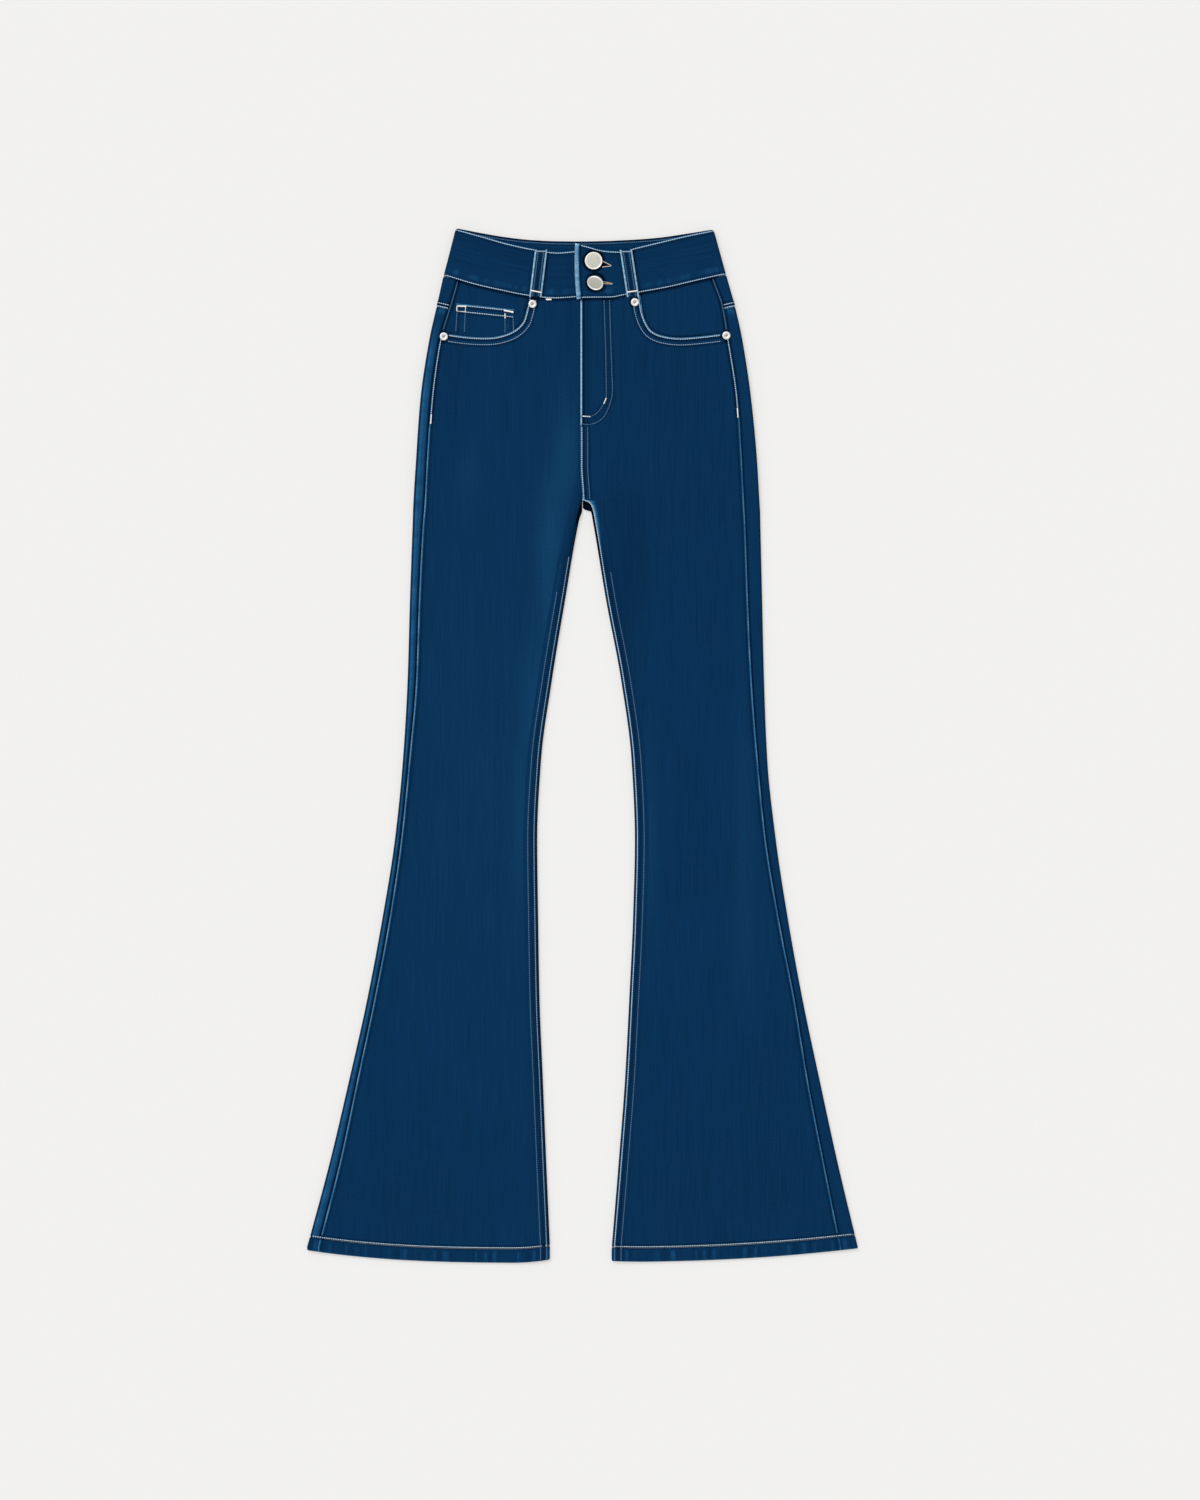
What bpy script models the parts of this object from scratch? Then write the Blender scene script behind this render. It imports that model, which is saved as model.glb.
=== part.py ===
"""Flared five-pocket jeans, closed at the waist and laid flat on their back, at real size in metres.

The waist points along +Y, the wearer's left along +X, and the front faces +Z.  Seat and legs are
tubes of cloth pressed flat, so a section across one is two layers joined by rounded folds, with
the back layer below.  Places on the garment are given by side ("right" or "left", as worn), by
across, the distance from the centre line towards that side, and by down, the distance below the
highest point of the waist.
"""
import math
from collections import namedtuple

import bmesh
import bpy
from mathutils import Matrix, Vector

# The garment as a whole
LENGTH = 1.0966
CROTCH = 0.288
SEAM_GAP = 0.0003
SIGN = {"right": -1.0, "left": 1.0}

# Thickness of the cloth and of the pressed tubes, outside to outside
CLOTH = 0.0012
BAND_CLOTH = 0.0020
HEM_CLOTH = 0.0018
LOOP_CLOTH = 0.0014
COIN_CLOTH = 0.0010
LEG_THICKNESS = 0.0050
SEAT_THICKNESS = 0.0053
BAND_THICKNESS = 0.0058

# The seat lies on its back pockets and back belt loops, and the legs on the ground
SEAT_LIFT = 0.0015
LIFT_ENDS = 0.275
LEG_RESTS = 0.325

# Sections: down, then outer fold, outseam and inner fold as distances across
Section = namedtuple("Section", "down outer outseam inner")
SECTIONS = {
    "right": (
        Section(0.040, 0.1450, 0.1305, 0.0000),
        Section(0.055, 0.1485, 0.1335, 0.0000),
        Section(0.080, 0.1540, 0.1405, 0.0000),
        Section(0.118, 0.1625, 0.1515, 0.0000),
        Section(0.182, 0.1720, 0.1605, 0.0000),
        Section(0.245, 0.1765, 0.1650, 0.0000),
        Section(0.294, 0.1795, 0.1675, 0.0000),
        Section(0.309, 0.1800, 0.1690, 0.0035),
        Section(0.394, 0.1830, 0.1735, 0.0185),
        Section(0.479, 0.1855, 0.1765, 0.0325),
        Section(0.564, 0.1905, 0.1840, 0.0440),
        Section(0.648, 0.1990, 0.1925, 0.0480),
        Section(0.733, 0.2125, 0.2050, 0.0470),
        Section(0.818, 0.2285, 0.2210, 0.0455),
        Section(0.903, 0.2475, 0.2390, 0.0420),
        Section(0.988, 0.2675, 0.2570, 0.0385),
        Section(1.080, 0.2920, 0.2805, 0.0345),
    ),
    "left": (
        Section(0.040, 0.1500, 0.1360, 0.0000),
        Section(0.055, 0.1540, 0.1400, 0.0000),
        Section(0.080, 0.1610, 0.1490, 0.0000),
        Section(0.118, 0.1695, 0.1555, 0.0000),
        Section(0.182, 0.1790, 0.1650, 0.0000),
        Section(0.245, 0.1850, 0.1690, 0.0000),
        Section(0.294, 0.1880, 0.1715, 0.0000),
        Section(0.299, 0.1882, 0.1718, 0.0085),
        Section(0.309, 0.1885, 0.1725, 0.0107),
        Section(0.394, 0.1905, 0.1755, 0.0250),
        Section(0.479, 0.1925, 0.1795, 0.0410),
        Section(0.564, 0.1960, 0.1860, 0.0520),
        Section(0.648, 0.2050, 0.1945, 0.0555),
        Section(0.733, 0.2180, 0.2085, 0.0535),
        Section(0.818, 0.2335, 0.2250, 0.0495),
        Section(0.903, 0.2515, 0.2390, 0.0450),
        Section(0.988, 0.2700, 0.2555, 0.0385),
        Section(1.080, 0.2920, 0.2740, 0.0310),
    ),
}

# Waist: along runs from the side fold (0) to the centre (1) and on over the lap
Waist = namedtuple("Waist", "along front_top front_seam back_top")
WAIST = {
    "right": (
        Waist(0.00, 0.0010, 0.0510, 0.0000),
        Waist(0.20, 0.0083, 0.0598, 0.0051),
        Waist(0.40, 0.0158, 0.0665, 0.0094),
        Waist(0.60, 0.0214, 0.0721, 0.0122),
        Waist(0.80, 0.0250, 0.0749, 0.0134),
        Waist(1.00, 0.0230, 0.0730, 0.0136),
        Waist(1.22, 0.0230, 0.0715, 0.0136),
    ),
    "left": (
        Waist(0.00, 0.0020, 0.0496, 0.0013),
        Waist(0.20, 0.0075, 0.0564, 0.0056),
        Waist(0.40, 0.0140, 0.0633, 0.0095),
        Waist(0.60, 0.0206, 0.0687, 0.0117),
        Waist(0.70, 0.0241, 0.0712, 0.0124),
        Waist(0.80, 0.0237, 0.0740, 0.0130),
        Waist(1.00, 0.0174, 0.0743, 0.0136),
        Waist(1.06, 0.0155, 0.0757, 0.0136),
    ),
}
BAND_FOLD_TOP = {"right": 0.1345, "left": 0.1392}
BAND_FOLD_SEAM = {"right": 0.1474, "left": 0.1524}
BACK_BAND_HEIGHT = 0.0490

# Waistband grid: steps along it and rows down it, with two shank holes in the lap
LAP_STEPS = (1.060, 1.012, 0.930, 0.872, 0.830, 0.775, 0.710)
FRONT_STEPS = (0.60, 0.48, 0.36, 0.24, 0.12, 0.0)
BACK_STEPS = (0.0, 0.2, 0.4, 0.6, 0.8)
UNDERLAP_STEPS = (0.15, 0.30, 0.45, 0.60, 0.75, 0.87, 0.945, 1.0, 1.10, 1.215)
BAND_ROWS = (0.0, 0.205, 0.315, 0.450, 0.585, 0.690, 0.860, 1.0)
SHANK_HOLES = {(1, 2), (4, 2)}
LAP_RISE = 0.0008
LAP_RISE_ENDS = (0.0315, 0.0400)
UNDERLAP_DROP = 0.0015
UNDERLAP_DROP_ENDS = (0.0100, 0.0188)

# Centre front: the left panel laps over the right one down to the crotch
LAP_EDGE = {"right": -0.0050, "left": -0.0021}
LAP_FADES = 0.250
PANEL_DROP = 0.0015
PANEL_DROP_ENDS = (0.0090, 0.0200)
PANEL_DROP_FADES = (0.284, 0.300)

# Top edge of a front panel: steps in from the centre, and shares of the way there from the pocket
EDGE_STEPS = (0.0170, 0.0076, 0.0)
WAIST_SHARES = (0.380, 0.593, 0.772)

# Front pocket openings: steps out and down from the corner at the waistband
PocketStep = namedtuple("PocketStep", "out down")
POCKET_CORNER = {"right": 0.0564, "left": 0.0609}
POCKET_EDGE = {
    "right": (
        PocketStep(0.0018, 0.0090),
        PocketStep(0.0036, 0.0175),
        PocketStep(0.0070, 0.0272),
        PocketStep(0.0155, 0.0355),
        PocketStep(0.0285, 0.0410),
        PocketStep(0.0440, 0.0433),
        PocketStep(0.0670, 0.0423),
    ),
    "left": (
        PocketStep(0.0008, 0.0115),
        PocketStep(0.0028, 0.0215),
        PocketStep(0.0064, 0.0315),
        PocketStep(0.0128, 0.0403),
        PocketStep(0.0245, 0.0453),
        PocketStep(0.0420, 0.0474),
        PocketStep(0.0650, 0.0458),
    ),
}
POCKET_SIDE_DROP = {"right": 0.0385, "left": 0.0424}
FACING_BOTTOM = 0.130
FACING_UNDER = 0.010

# Coin pocket on the right facing: its outer and inner side, and its mouth at each
COIN_ACROSS = (0.1335, 0.0728)
COIN_MOUTH = (0.0795, 0.0859)

# Inseam and crotch: the back panels wrap forward round the inner fold
INSEAM_INSET = 0.0031
WRAP_BEGINS = 0.288
WRAP_ENDS = 0.314
EDGE_SETTLES = 0.310

# Back yokes and back pockets
YOKE_SIDE = 0.0826
YOKE_CENTRE = 0.120
POCKET_CENTRE = 0.086
POCKET_TOP = 0.122
POCKET_WIDTH = 0.132
POCKET_TAPER = 0.018
POCKET_DEPTH = 0.124
POCKET_POINT = 0.016
POCKET_TILT = -0.012

# Hems
HEM_BAND = 0.0145
Hem = namedtuple("Hem", "base rise power toe")
HEMS = {"right": Hem(0.0, 0.0135, 3.0, 0.0036), "left": Hem(0.0010, 0.0145, 2.2, 0.0010)}
TOE_SHARE = 0.16
HEM_EASES = 0.960

# Rows shared by the panels below the pockets, so that their edges run side by side
TOP_EASES = 0.190
UPPER_FRONT_ROWS = (0.087, 0.100, 0.118, 0.142, 0.166)
UPPER_BACK_ROWS = (0.128, 0.138, 0.148, 0.158, 0.168, 0.179)
PANEL_ROWS = (
    0.190, 0.215, 0.245, 0.272, 0.288, 0.296, 0.304, 0.314, 0.335, 0.370, 0.420, 0.479,
    0.540, 0.600, 0.660, 0.720, 0.780, 0.840, 0.900, 0.960, 1.020, 1.055,
)
BOTTOM_STEPS = 8
FOLD_STEPS = 4

# Lie of the front layer: it sinks between the folds of each leg, and carries a few soft folds
LEG_SINK = 0.0012
SINK_SPAN = 0.22
Fold = namedtuple("Fold", "side across down length width slant height")
FOLDS = (
    Fold("right", 0.060, 0.262, 0.120, 0.024, 0.50, -0.0006),
    Fold("left", 0.066, 0.266, 0.120, 0.024, 0.50, -0.0006),
    Fold("right", 0.112, 0.420, 0.190, 0.040, 1.45, 0.0008),
    Fold("left", 0.124, 0.450, 0.210, 0.040, 1.50, 0.0008),
    Fold("right", 0.118, 0.640, 0.110, 0.034, 0.35, -0.0007),
    Fold("left", 0.126, 0.655, 0.100, 0.034, -0.30, -0.0007),
    Fold("right", 0.142, 0.860, 0.230, 0.050, 1.30, 0.0010),
    Fold("left", 0.140, 0.840, 0.240, 0.050, 1.28, 0.0010),
    Fold("right", 0.196, 0.990, 0.150, 0.036, 1.22, -0.0008),
    Fold("left", 0.190, 1.000, 0.150, 0.036, 1.20, -0.0008),
)

# Belt loops: middle of each end, with negative across on the right
Loop = namedtuple("Loop", "name back top_across top_down end_across end_down")
LOOPS = (
    Loop("belt_loop_front_right", False, -0.0438, 0.0226, -0.0500, 0.0730),
    Loop("belt_loop_front_left", False, 0.0460, 0.0229, 0.0536, 0.0730),
    Loop("belt_loop_back_right", True, -0.0860, 0.0092, -0.0885, 0.0625),
    Loop("belt_loop_back_centre", True, 0.0000, 0.0136, 0.0000, 0.0675),
    Loop("belt_loop_back_left", True, 0.0880, 0.0095, 0.0905, 0.0625),
)
LOOP_WIDTH = 0.0130
LOOP_BOW = 0.0011
LOOP_STEPS = 8

# Buttons and rivets, turned about their own axes
Turned = namedtuple("Turned", "name x down seat radius lean")
BAND_TOP = SEAT_LIFT + BAND_THICKNESS
LAP_TOP = BAND_TOP + LAP_RISE
SEAT_TOP = SEAT_LIFT + SEAT_THICKNESS
TOP_RADIUS = 0.0093
LOWER_RADIUS = 0.0088
LOWER_LEAN = math.radians(27.0)
LOWER_STANDS = LOWER_RADIUS * math.sin(LOWER_LEAN)
BUTTON_SEAT = LAP_TOP + SEAM_GAP
BUTTONS = (
    Turned("button_top", 0.0118, 0.0344, BUTTON_SEAT, TOP_RADIUS, 0.0),
    Turned("button_lower", 0.0138, 0.0574, BUTTON_SEAT + LOWER_STANDS, LOWER_RADIUS, LOWER_LEAN),
)
RIVET_RADIUS = 0.0043
RIVET_SEAT = SEAT_TOP + SEAM_GAP
RIVETS = (
    Turned("rivet_right_inner", -0.0530, 0.0800, RIVET_SEAT, RIVET_RADIUS, 0.0),
    Turned("rivet_right_outer", -0.1470, 0.1145, RIVET_SEAT, RIVET_RADIUS, 0.0),
    Turned("rivet_left_inner", 0.0556, 0.0782, RIVET_SEAT, RIVET_RADIUS, 0.0),
    Turned("rivet_left_outer", 0.1525, 0.1135, RIVET_SEAT, RIVET_RADIUS, 0.0),
)
LEAN_AXIS = Vector((1.0, -0.4, 0.0))
SHANK_RADIUS = 0.0015
UNDERLAP_TOP = BAND_TOP - UNDERLAP_DROP
BUTTON_HEIGHT = 0.0026
BUTTON_RIM = 0.0016
BUTTON_DISH = 0.0006
BUTTON_SIDES = 28
RIVET_HEIGHT = 0.0012
RIVET_SIDES = 18


def smooth(start, end, value):
    """0 before start, 1 after end, with a soft turn at both."""
    step = min(1.0, max(0.0, (value - start) / (end - start)))
    return step * step * (3.0 - 2.0 * step)


def blend(first, second, share):
    return first + (second - first) * share


def slope_between(rows, key, column, index):
    """Slope of a table's column from one row to the next."""
    rise = getattr(rows[index + 1], column) - getattr(rows[index], column)
    return rise / (getattr(rows[index + 1], key) - getattr(rows[index], key))


def slope_at(rows, key, column, index):
    """Slope of a table's column at one row, level where the column stops rising or falling."""
    before = slope_between(rows, key, column, max(0, index - 1))
    after = slope_between(rows, key, column, min(index, len(rows) - 2))
    if before * after <= 0.0:
        return 0.0
    return 2.0 * before * after / (before + after)


def read_table(rows, key, column, value):
    """A column of a table at any value of its key, on one smooth curve through the rows."""
    value = min(max(value, getattr(rows[0], key)), getattr(rows[-1], key))
    index = 0
    while index < len(rows) - 2 and value > getattr(rows[index + 1], key):
        index += 1
    start = getattr(rows[index], key)
    span = getattr(rows[index + 1], key) - start
    share = (value - start) / span
    low = getattr(rows[index], column)
    high = getattr(rows[index + 1], column)
    low_slope = slope_at(rows, key, column, index) * span
    high_slope = slope_at(rows, key, column, index + 1) * span
    square = share * share
    cube = square * share
    value = low * (2.0 * cube - 3.0 * square + 1.0) + high * (3.0 * square - 2.0 * cube)
    return value + low_slope * (cube - 2.0 * square + share) + high_slope * (cube - square)


def outer_fold(side, down):
    return read_table(SECTIONS[side], "down", "outer", down)


def outseam(side, down):
    return read_table(SECTIONS[side], "down", "outseam", down)


def inner_fold(side, down):
    return max(SEAM_GAP / 2.0, read_table(SECTIONS[side], "down", "inner", down))


def back_bottom(down):
    """Height of the underside of the back layer."""
    return SEAT_LIFT * (1.0 - smooth(LIFT_ENDS, LEG_RESTS, down))


def tube_thickness(down):
    return blend(SEAT_THICKNESS, LEG_THICKNESS, smooth(LIFT_ENDS, LEG_RESTS, down))


def fold_radius(down):
    return tube_thickness(down) / 2.0


def soft_folds(side, across, down):
    """Rise of the front layer where its soft folds run."""
    rise = 0.0
    for fold in FOLDS:
        if fold.side == side:
            right, below = across - fold.across, down - fold.down
            along = right * math.cos(fold.slant) + below * math.sin(fold.slant)
            aside = below * math.cos(fold.slant) - right * math.sin(fold.slant)
            reach = (2.0 * along / fold.length) ** 2 + (aside / fold.width) ** 2
            rise += fold.height * math.exp(-2.0 * reach)
    return rise


def front_top(side, across, down):
    """Height of the outer face of the front layer."""
    outer = outer_fold(side, down)
    inner = inner_fold(side, down)
    from_fold = min(outer - across, across - inner) / (outer - inner)
    legs = smooth(LIFT_ENDS, LEG_RESTS, down)
    settle = smooth(0.0, SINK_SPAN, from_fold)
    lie = soft_folds(side, across, down) - LEG_SINK * legs
    return back_bottom(down) + tube_thickness(down) + lie * settle


def place(side, across, down, height):
    return Vector((SIGN[side] * across, LENGTH / 2.0 - down, height))


def waist(side, column, along):
    return read_table(WAIST[side], "along", column, along)


def along_seam(side, across):
    return 1.0 - across / (BAND_FOLD_SEAM[side] - BAND_THICKNESS / 2.0)


def front_seam(side, across):
    """Down of the waist seam at the front."""
    return waist(side, "front_seam", along_seam(side, across))


def back_band_bottom(side, along):
    """Down of the waist seam at the back."""
    side_height = waist(side, "front_seam", 0.0) - waist(side, "back_top", 0.0)
    return waist(side, "back_top", along) + blend(side_height, BACK_BAND_HEIGHT, along)


def back_seam(side, across):
    return back_band_bottom(side, along_seam(side, across))


def yoke_seam(side, across):
    outer = outer_fold(side, YOKE_SIDE)
    return blend(YOKE_CENTRE, YOKE_SIDE, min(1.0, max(0.0, across / outer)))


def hem_line(side, across):
    """Down of the bottom edge, which climbs towards the outer fold and a little at the inner one."""
    hem = HEMS[side]
    inner = inner_fold(side, LENGTH)
    share = min(1.0, max(0.0, (across - inner) / (outer_fold(side, LENGTH) - inner)))
    toe = hem.toe * max(0.0, 1.0 - share / TOE_SHARE) ** 2
    return LENGTH - hem.base - hem.rise * share ** hem.power - toe


def panel_bottom(side, across):
    return hem_line(side, across) - HEM_BAND - SEAM_GAP / 2.0


def ease_row(level, across, side, top, top_level):
    """Down of a point of a row, which follows the piece's own top and bottom edges near them."""
    bottom_level = LENGTH - HEM_BAND - SEAM_GAP / 2.0
    down = level + (top - top_level) * (1.0 - smooth(top_level, TOP_EASES, level))
    bottom = panel_bottom(side, across) - bottom_level
    return down + bottom * smooth(HEM_EASES, bottom_level, level)


def material(name, colour, roughness, metallic=0.0):
    finish = bpy.data.materials.new(name)
    finish.use_nodes = True
    shader = finish.node_tree.nodes["Principled BSDF"]
    shader.inputs["Base Color"].default_value = (*colour, 1.0)
    shader.inputs["Roughness"].default_value = roughness
    shader.inputs["Metallic"].default_value = metallic
    return finish


def add_object(name, mesh, finish):
    """One named object from a bmesh, faces outward."""
    bmesh.ops.recalc_face_normals(mesh, faces=mesh.faces)
    data = bpy.data.meshes.new(name)
    mesh.to_mesh(data)
    mesh.free()
    data.materials.append(finish)
    data.shade_smooth()
    data.set_sharp_from_angle(angle=math.radians(40.0))
    piece = bpy.data.objects.new(name, data)
    bpy.context.collection.objects.link(piece)
    return piece


def add_wall(name, outer, inner, finish, ring=False, holes=()):
    """A closed wall of cloth between two grids of points, open at the cells in holes."""
    mesh = bmesh.new()
    outer_verts = [[mesh.verts.new(point) for point in row] for row in outer]
    inner_verts = [[mesh.verts.new(point) for point in row] for row in inner]
    columns = len(outer[0])
    cells = set()
    for row in range(len(outer) - 1):
        for column in range(columns if ring else columns - 1):
            if (row, column) not in holes:
                cells.add((row, column))
    for row, column in cells:
        after = (column + 1) % columns
        before = (column - 1) % columns if ring else column - 1
        corners = ((row, column), (row, after), (row + 1, after), (row + 1, column))
        beside = ((row - 1, column), (row, after), (row + 1, column), (row, before))
        mesh.faces.new([outer_verts[r][c] for r, c in corners])
        mesh.faces.new([inner_verts[r][c] for r, c in reversed(corners)])
        for index, neighbour in enumerate(beside):
            if neighbour not in cells:
                (r1, c1), (r2, c2) = corners[index], corners[(index + 1) % 4]
                outer_edge = (outer_verts[r2][c2], outer_verts[r1][c1])
                inner_edge = (inner_verts[r1][c1], inner_verts[r2][c2])
                mesh.faces.new(outer_edge + inner_edge)
    return add_object(name, mesh, finish)


def inner_offset(down, step):
    """Length from a back panel's inner edge to a step: a narrow strip, then round the fold."""
    strip = INSEAM_INSET - fold_radius(down)
    if step == 0:
        return 0.0
    return strip + math.pi * fold_radius(down) * (step - 1) / FOLD_STEPS


def back_points(side, down, column):
    """Outer and inner point of the back layer, from its inner edge round to the outseam."""
    radius = fold_radius(down)
    bottom = back_bottom(down)
    wrapped = smooth(WRAP_BEGINS, WRAP_ENDS, down)
    whole_wrap = INSEAM_INSET - SEAM_GAP / 2.0 - radius + math.pi * radius
    wrap = wrapped * whole_wrap
    turn = min(math.pi / 2.0, wrap / radius)
    inner_tangent = inner_fold(side, down) + radius * math.sin(turn)
    outer_tangent = outer_fold(side, down) - radius
    last_inner = FOLD_STEPS + 1
    first_outer = last_inner + BOTTOM_STEPS
    if column <= last_inner:
        length = inner_offset(down, column) - wrap
    elif column < first_outer:
        start = inner_offset(down, last_inner) - wrap
        share = (column - last_inner) / BOTTOM_STEPS
        length = blend(start, outer_tangent - inner_tangent, share)
    else:
        return outer_fold_points(side, down, column - first_outer, outer_tangent, radius)
    if length >= 0.0:
        across = inner_tangent + length
        return (place(side, across, down, bottom), place(side, across, down, bottom + CLOTH))
    angle = min(math.pi, -length / radius)
    beyond = max(0.0, -length - math.pi * radius)
    if beyond > 0.0:
        across = inner_tangent + beyond
        top = front_top(side, across, down)
        return (place(side, across, down, top), place(side, across, down, top - CLOTH))
    return arc_points(side, down, inner_tangent, -angle, radius)


def arc_points(side, down, tangent, angle, radius):
    """Outer and inner point of a fold: angle from straight down, outwards positive."""
    middle = back_bottom(down) + radius
    points = []
    for reach in (radius, radius - CLOTH):
        across = tangent + reach * math.sin(angle)
        points.append(place(side, across, down, middle - reach * math.cos(angle)))
    return tuple(points)


def outer_fold_points(side, down, step, tangent, radius):
    if step <= FOLD_STEPS:
        return arc_points(side, down, tangent, math.pi * step / FOLD_STEPS, radius)
    across = outseam(side, down) + SEAM_GAP / 2.0
    top = front_top(side, across, down)
    return (place(side, across, down, top), place(side, across, down, top - CLOTH))


BACK_COLUMNS = 1 + FOLD_STEPS + 1 + BOTTOM_STEPS + FOLD_STEPS + 1


def across_of(side, point):
    return SIGN[side] * point.x


def settled_points(side, column, down, rule):
    """Points of a back column where its down agrees with a rule given the point across."""
    for _ in range(4):
        point = back_points(side, down, column)[0]
        down = rule(across_of(side, point), point.z > back_bottom(down) + fold_radius(down))
    return back_points(side, down, column)


def back_panel(side, finish):
    """Leg and half the seat at the back, from the yoke seam down to the hem."""
    top_level = YOKE_CENTRE + SEAM_GAP / 2.0
    levels = (top_level,) + UPPER_BACK_ROWS + PANEL_ROWS + (LENGTH - HEM_BAND - SEAM_GAP / 2.0,)
    outer = []
    inner = []
    for level in levels:
        def row_down(across, on_front, level=level):
            top = yoke_seam(side, across) + SEAM_GAP / 2.0
            return ease_row(level, across, side, top, top_level)

        row = [settled_points(side, column, level, row_down) for column in range(BACK_COLUMNS)]
        outer.append([pair[0] for pair in row])
        inner.append([pair[1] for pair in row])
    return add_wall(f"back_panel_{side}", outer, inner, finish)


def back_yoke(side, finish):
    """The shaped piece between waistband and back panel, which runs round to the outseam."""
    rows = 3
    outer = []
    inner = []
    for index in range(rows):
        def row_down(across, on_front, share=index / (rows - 1)):
            top = front_seam(side, across) if on_front else back_seam(side, across)
            return blend(top + SEAM_GAP / 2.0, yoke_seam(side, across) - SEAM_GAP / 2.0, share)

        row = [settled_points(side, column, YOKE_SIDE, row_down) for column in range(BACK_COLUMNS)]
        outer.append([pair[0] for pair in row])
        inner.append([pair[1] for pair in row])
    return add_wall(f"back_yoke_{side}", outer, inner, finish)


def front_edge(side, down):
    """Inner edge of a front panel: the lap down to the crotch, then the inseam."""
    lap = LAP_EDGE[side] * (1.0 - smooth(LAP_FADES, CROTCH, down))
    seam = inner_fold(side, down) + INSEAM_INSET + SEAM_GAP / 2.0
    return blend(lap, seam, smooth(CROTCH, EDGE_SETTLES, down))


def panel_top(side, across, down):
    """Height of a front panel, where the right one drops to pass under the lap."""
    top = front_top(side, across, down)
    if side == "right":
        drop = 1.0 - smooth(*PANEL_DROP_ENDS, across)
        return top - PANEL_DROP * drop * (1.0 - smooth(*PANEL_DROP_FADES, down))
    return top


def pocket_points(side):
    """Points of a pocket opening as (across, down), from the outseam to the waistband."""
    corner = POCKET_CORNER[side]
    start = front_seam(side, corner)
    side_down = start + POCKET_SIDE_DROP[side]
    points = [(outseam(side, side_down) - SEAM_GAP / 2.0, side_down)]
    points += [(corner + step.out, start + step.down) for step in reversed(POCKET_EDGE[side])]
    points.append((corner, start + SEAM_GAP / 2.0))
    return points


def front_top_row(side):
    """Top edge of a front panel: the pocket opening, then the waist seam to the centre."""
    points = pocket_points(side)
    edge = front_edge(side, front_seam(side, 0.0))
    steps = [edge + offset for offset in EDGE_STEPS]
    corner = POCKET_CORNER[side]
    between = [blend(corner, steps[0], share) for share in WAIST_SHARES]
    for across in between + steps:
        points.append((across, front_seam(side, across) + SEAM_GAP / 2.0))
    return points


def front_panel(side, finish):
    """Leg and half the front, from the pocket opening and waist seam down to the hem."""
    top_row = front_top_row(side)
    columns = len(top_row)
    even = columns - len(EDGE_STEPS)
    top_level = top_row[-1][1]
    levels = (top_level,) + UPPER_FRONT_ROWS + PANEL_ROWS + (LENGTH - HEM_BAND - SEAM_GAP / 2.0,)
    outer = []
    inner = []
    for level in levels:
        keep = 1.0 - smooth(top_level, TOP_EASES, level)
        outer_row = []
        inner_row = []
        for column in range(columns):
            across = outseam(side, level) - SEAM_GAP / 2.0
            down = ease_row(level, across, side, top_row[column][1], top_level)
            for _ in range(2):
                across = panel_across(side, down, column, even)
                down = ease_row(level, across, side, top_row[column][1], top_level)
            shift = top_row[column][0] - panel_across(side, top_row[column][1], column, even)
            across += shift * keep
            top = panel_top(side, across, down)
            outer_row.append(place(side, across, down, top))
            inner_row.append(place(side, across, down, top - CLOTH))
        outer.append(outer_row)
        inner.append(inner_row)
    return add_wall(f"front_panel_{side}", outer, inner, finish)


def panel_across(side, down, column, even):
    """Across of a front panel's column: even steps, then fixed ones beside the inner edge."""
    edge = front_edge(side, down)
    if column >= even:
        return edge + EDGE_STEPS[column - even]
    return blend(outseam(side, down) - SEAM_GAP / 2.0, edge + EDGE_STEPS[0], column / even)


def pocket_facing(side, finish):
    """The piece behind a front pocket opening, from outseam and waist seam to under the panel."""
    columns = 7
    rows = 5
    outer = []
    inner = []
    for row in range(rows):
        outer_row = []
        inner_row = []
        for column in range(columns):
            share = column / (columns - 1)
            across = blend(outseam(side, CLOTH), POCKET_CORNER[side] - FACING_UNDER, share)
            start = front_seam(side, across) + SEAM_GAP / 2.0
            down = blend(start, FACING_BOTTOM, row / (rows - 1))
            outer_edge = outseam(side, down) - SEAM_GAP / 2.0
            across = blend(outer_edge, POCKET_CORNER[side] - FACING_UNDER, share)
            top = front_top(side, across, down) - CLOTH - SEAM_GAP
            outer_row.append(place(side, across, down, top))
            inner_row.append(place(side, across, down, top - CLOTH))
        outer.append(outer_row)
        inner.append(inner_row)
    return add_wall(f"pocket_facing_{side}", outer, inner, finish)


def pocket_edge_down(side, across):
    """Down of a pocket opening at a place across it."""
    points = pocket_points(side)
    for (far, far_down), (near, near_down) in zip(points, points[1:]):
        if near <= across <= far:
            return blend(near_down, far_down, (across - near) / (far - near))
    return points[0][1]


def coin_pocket(finish):
    """The small pocket on the right facing, which runs down behind the pocket opening."""
    columns = 7
    rows = 3
    outer = []
    inner = []
    for row in range(rows):
        outer_row = []
        inner_row = []
        for column in range(columns):
            share = column / (columns - 1)
            across = blend(*COIN_ACROSS, share)
            end = pocket_edge_down("right", across) - 2.0 * SEAM_GAP
            down = blend(blend(*COIN_MOUTH, share), end, row / (rows - 1))
            under = front_top("right", across, down) - CLOTH
            outer_row.append(place("right", across, down, under + COIN_CLOTH))
            inner_row.append(place("right", across, down, under))
        outer.append(outer_row)
        inner.append(inner_row)
    return add_wall("coin_pocket", outer, inner, finish)


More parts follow.
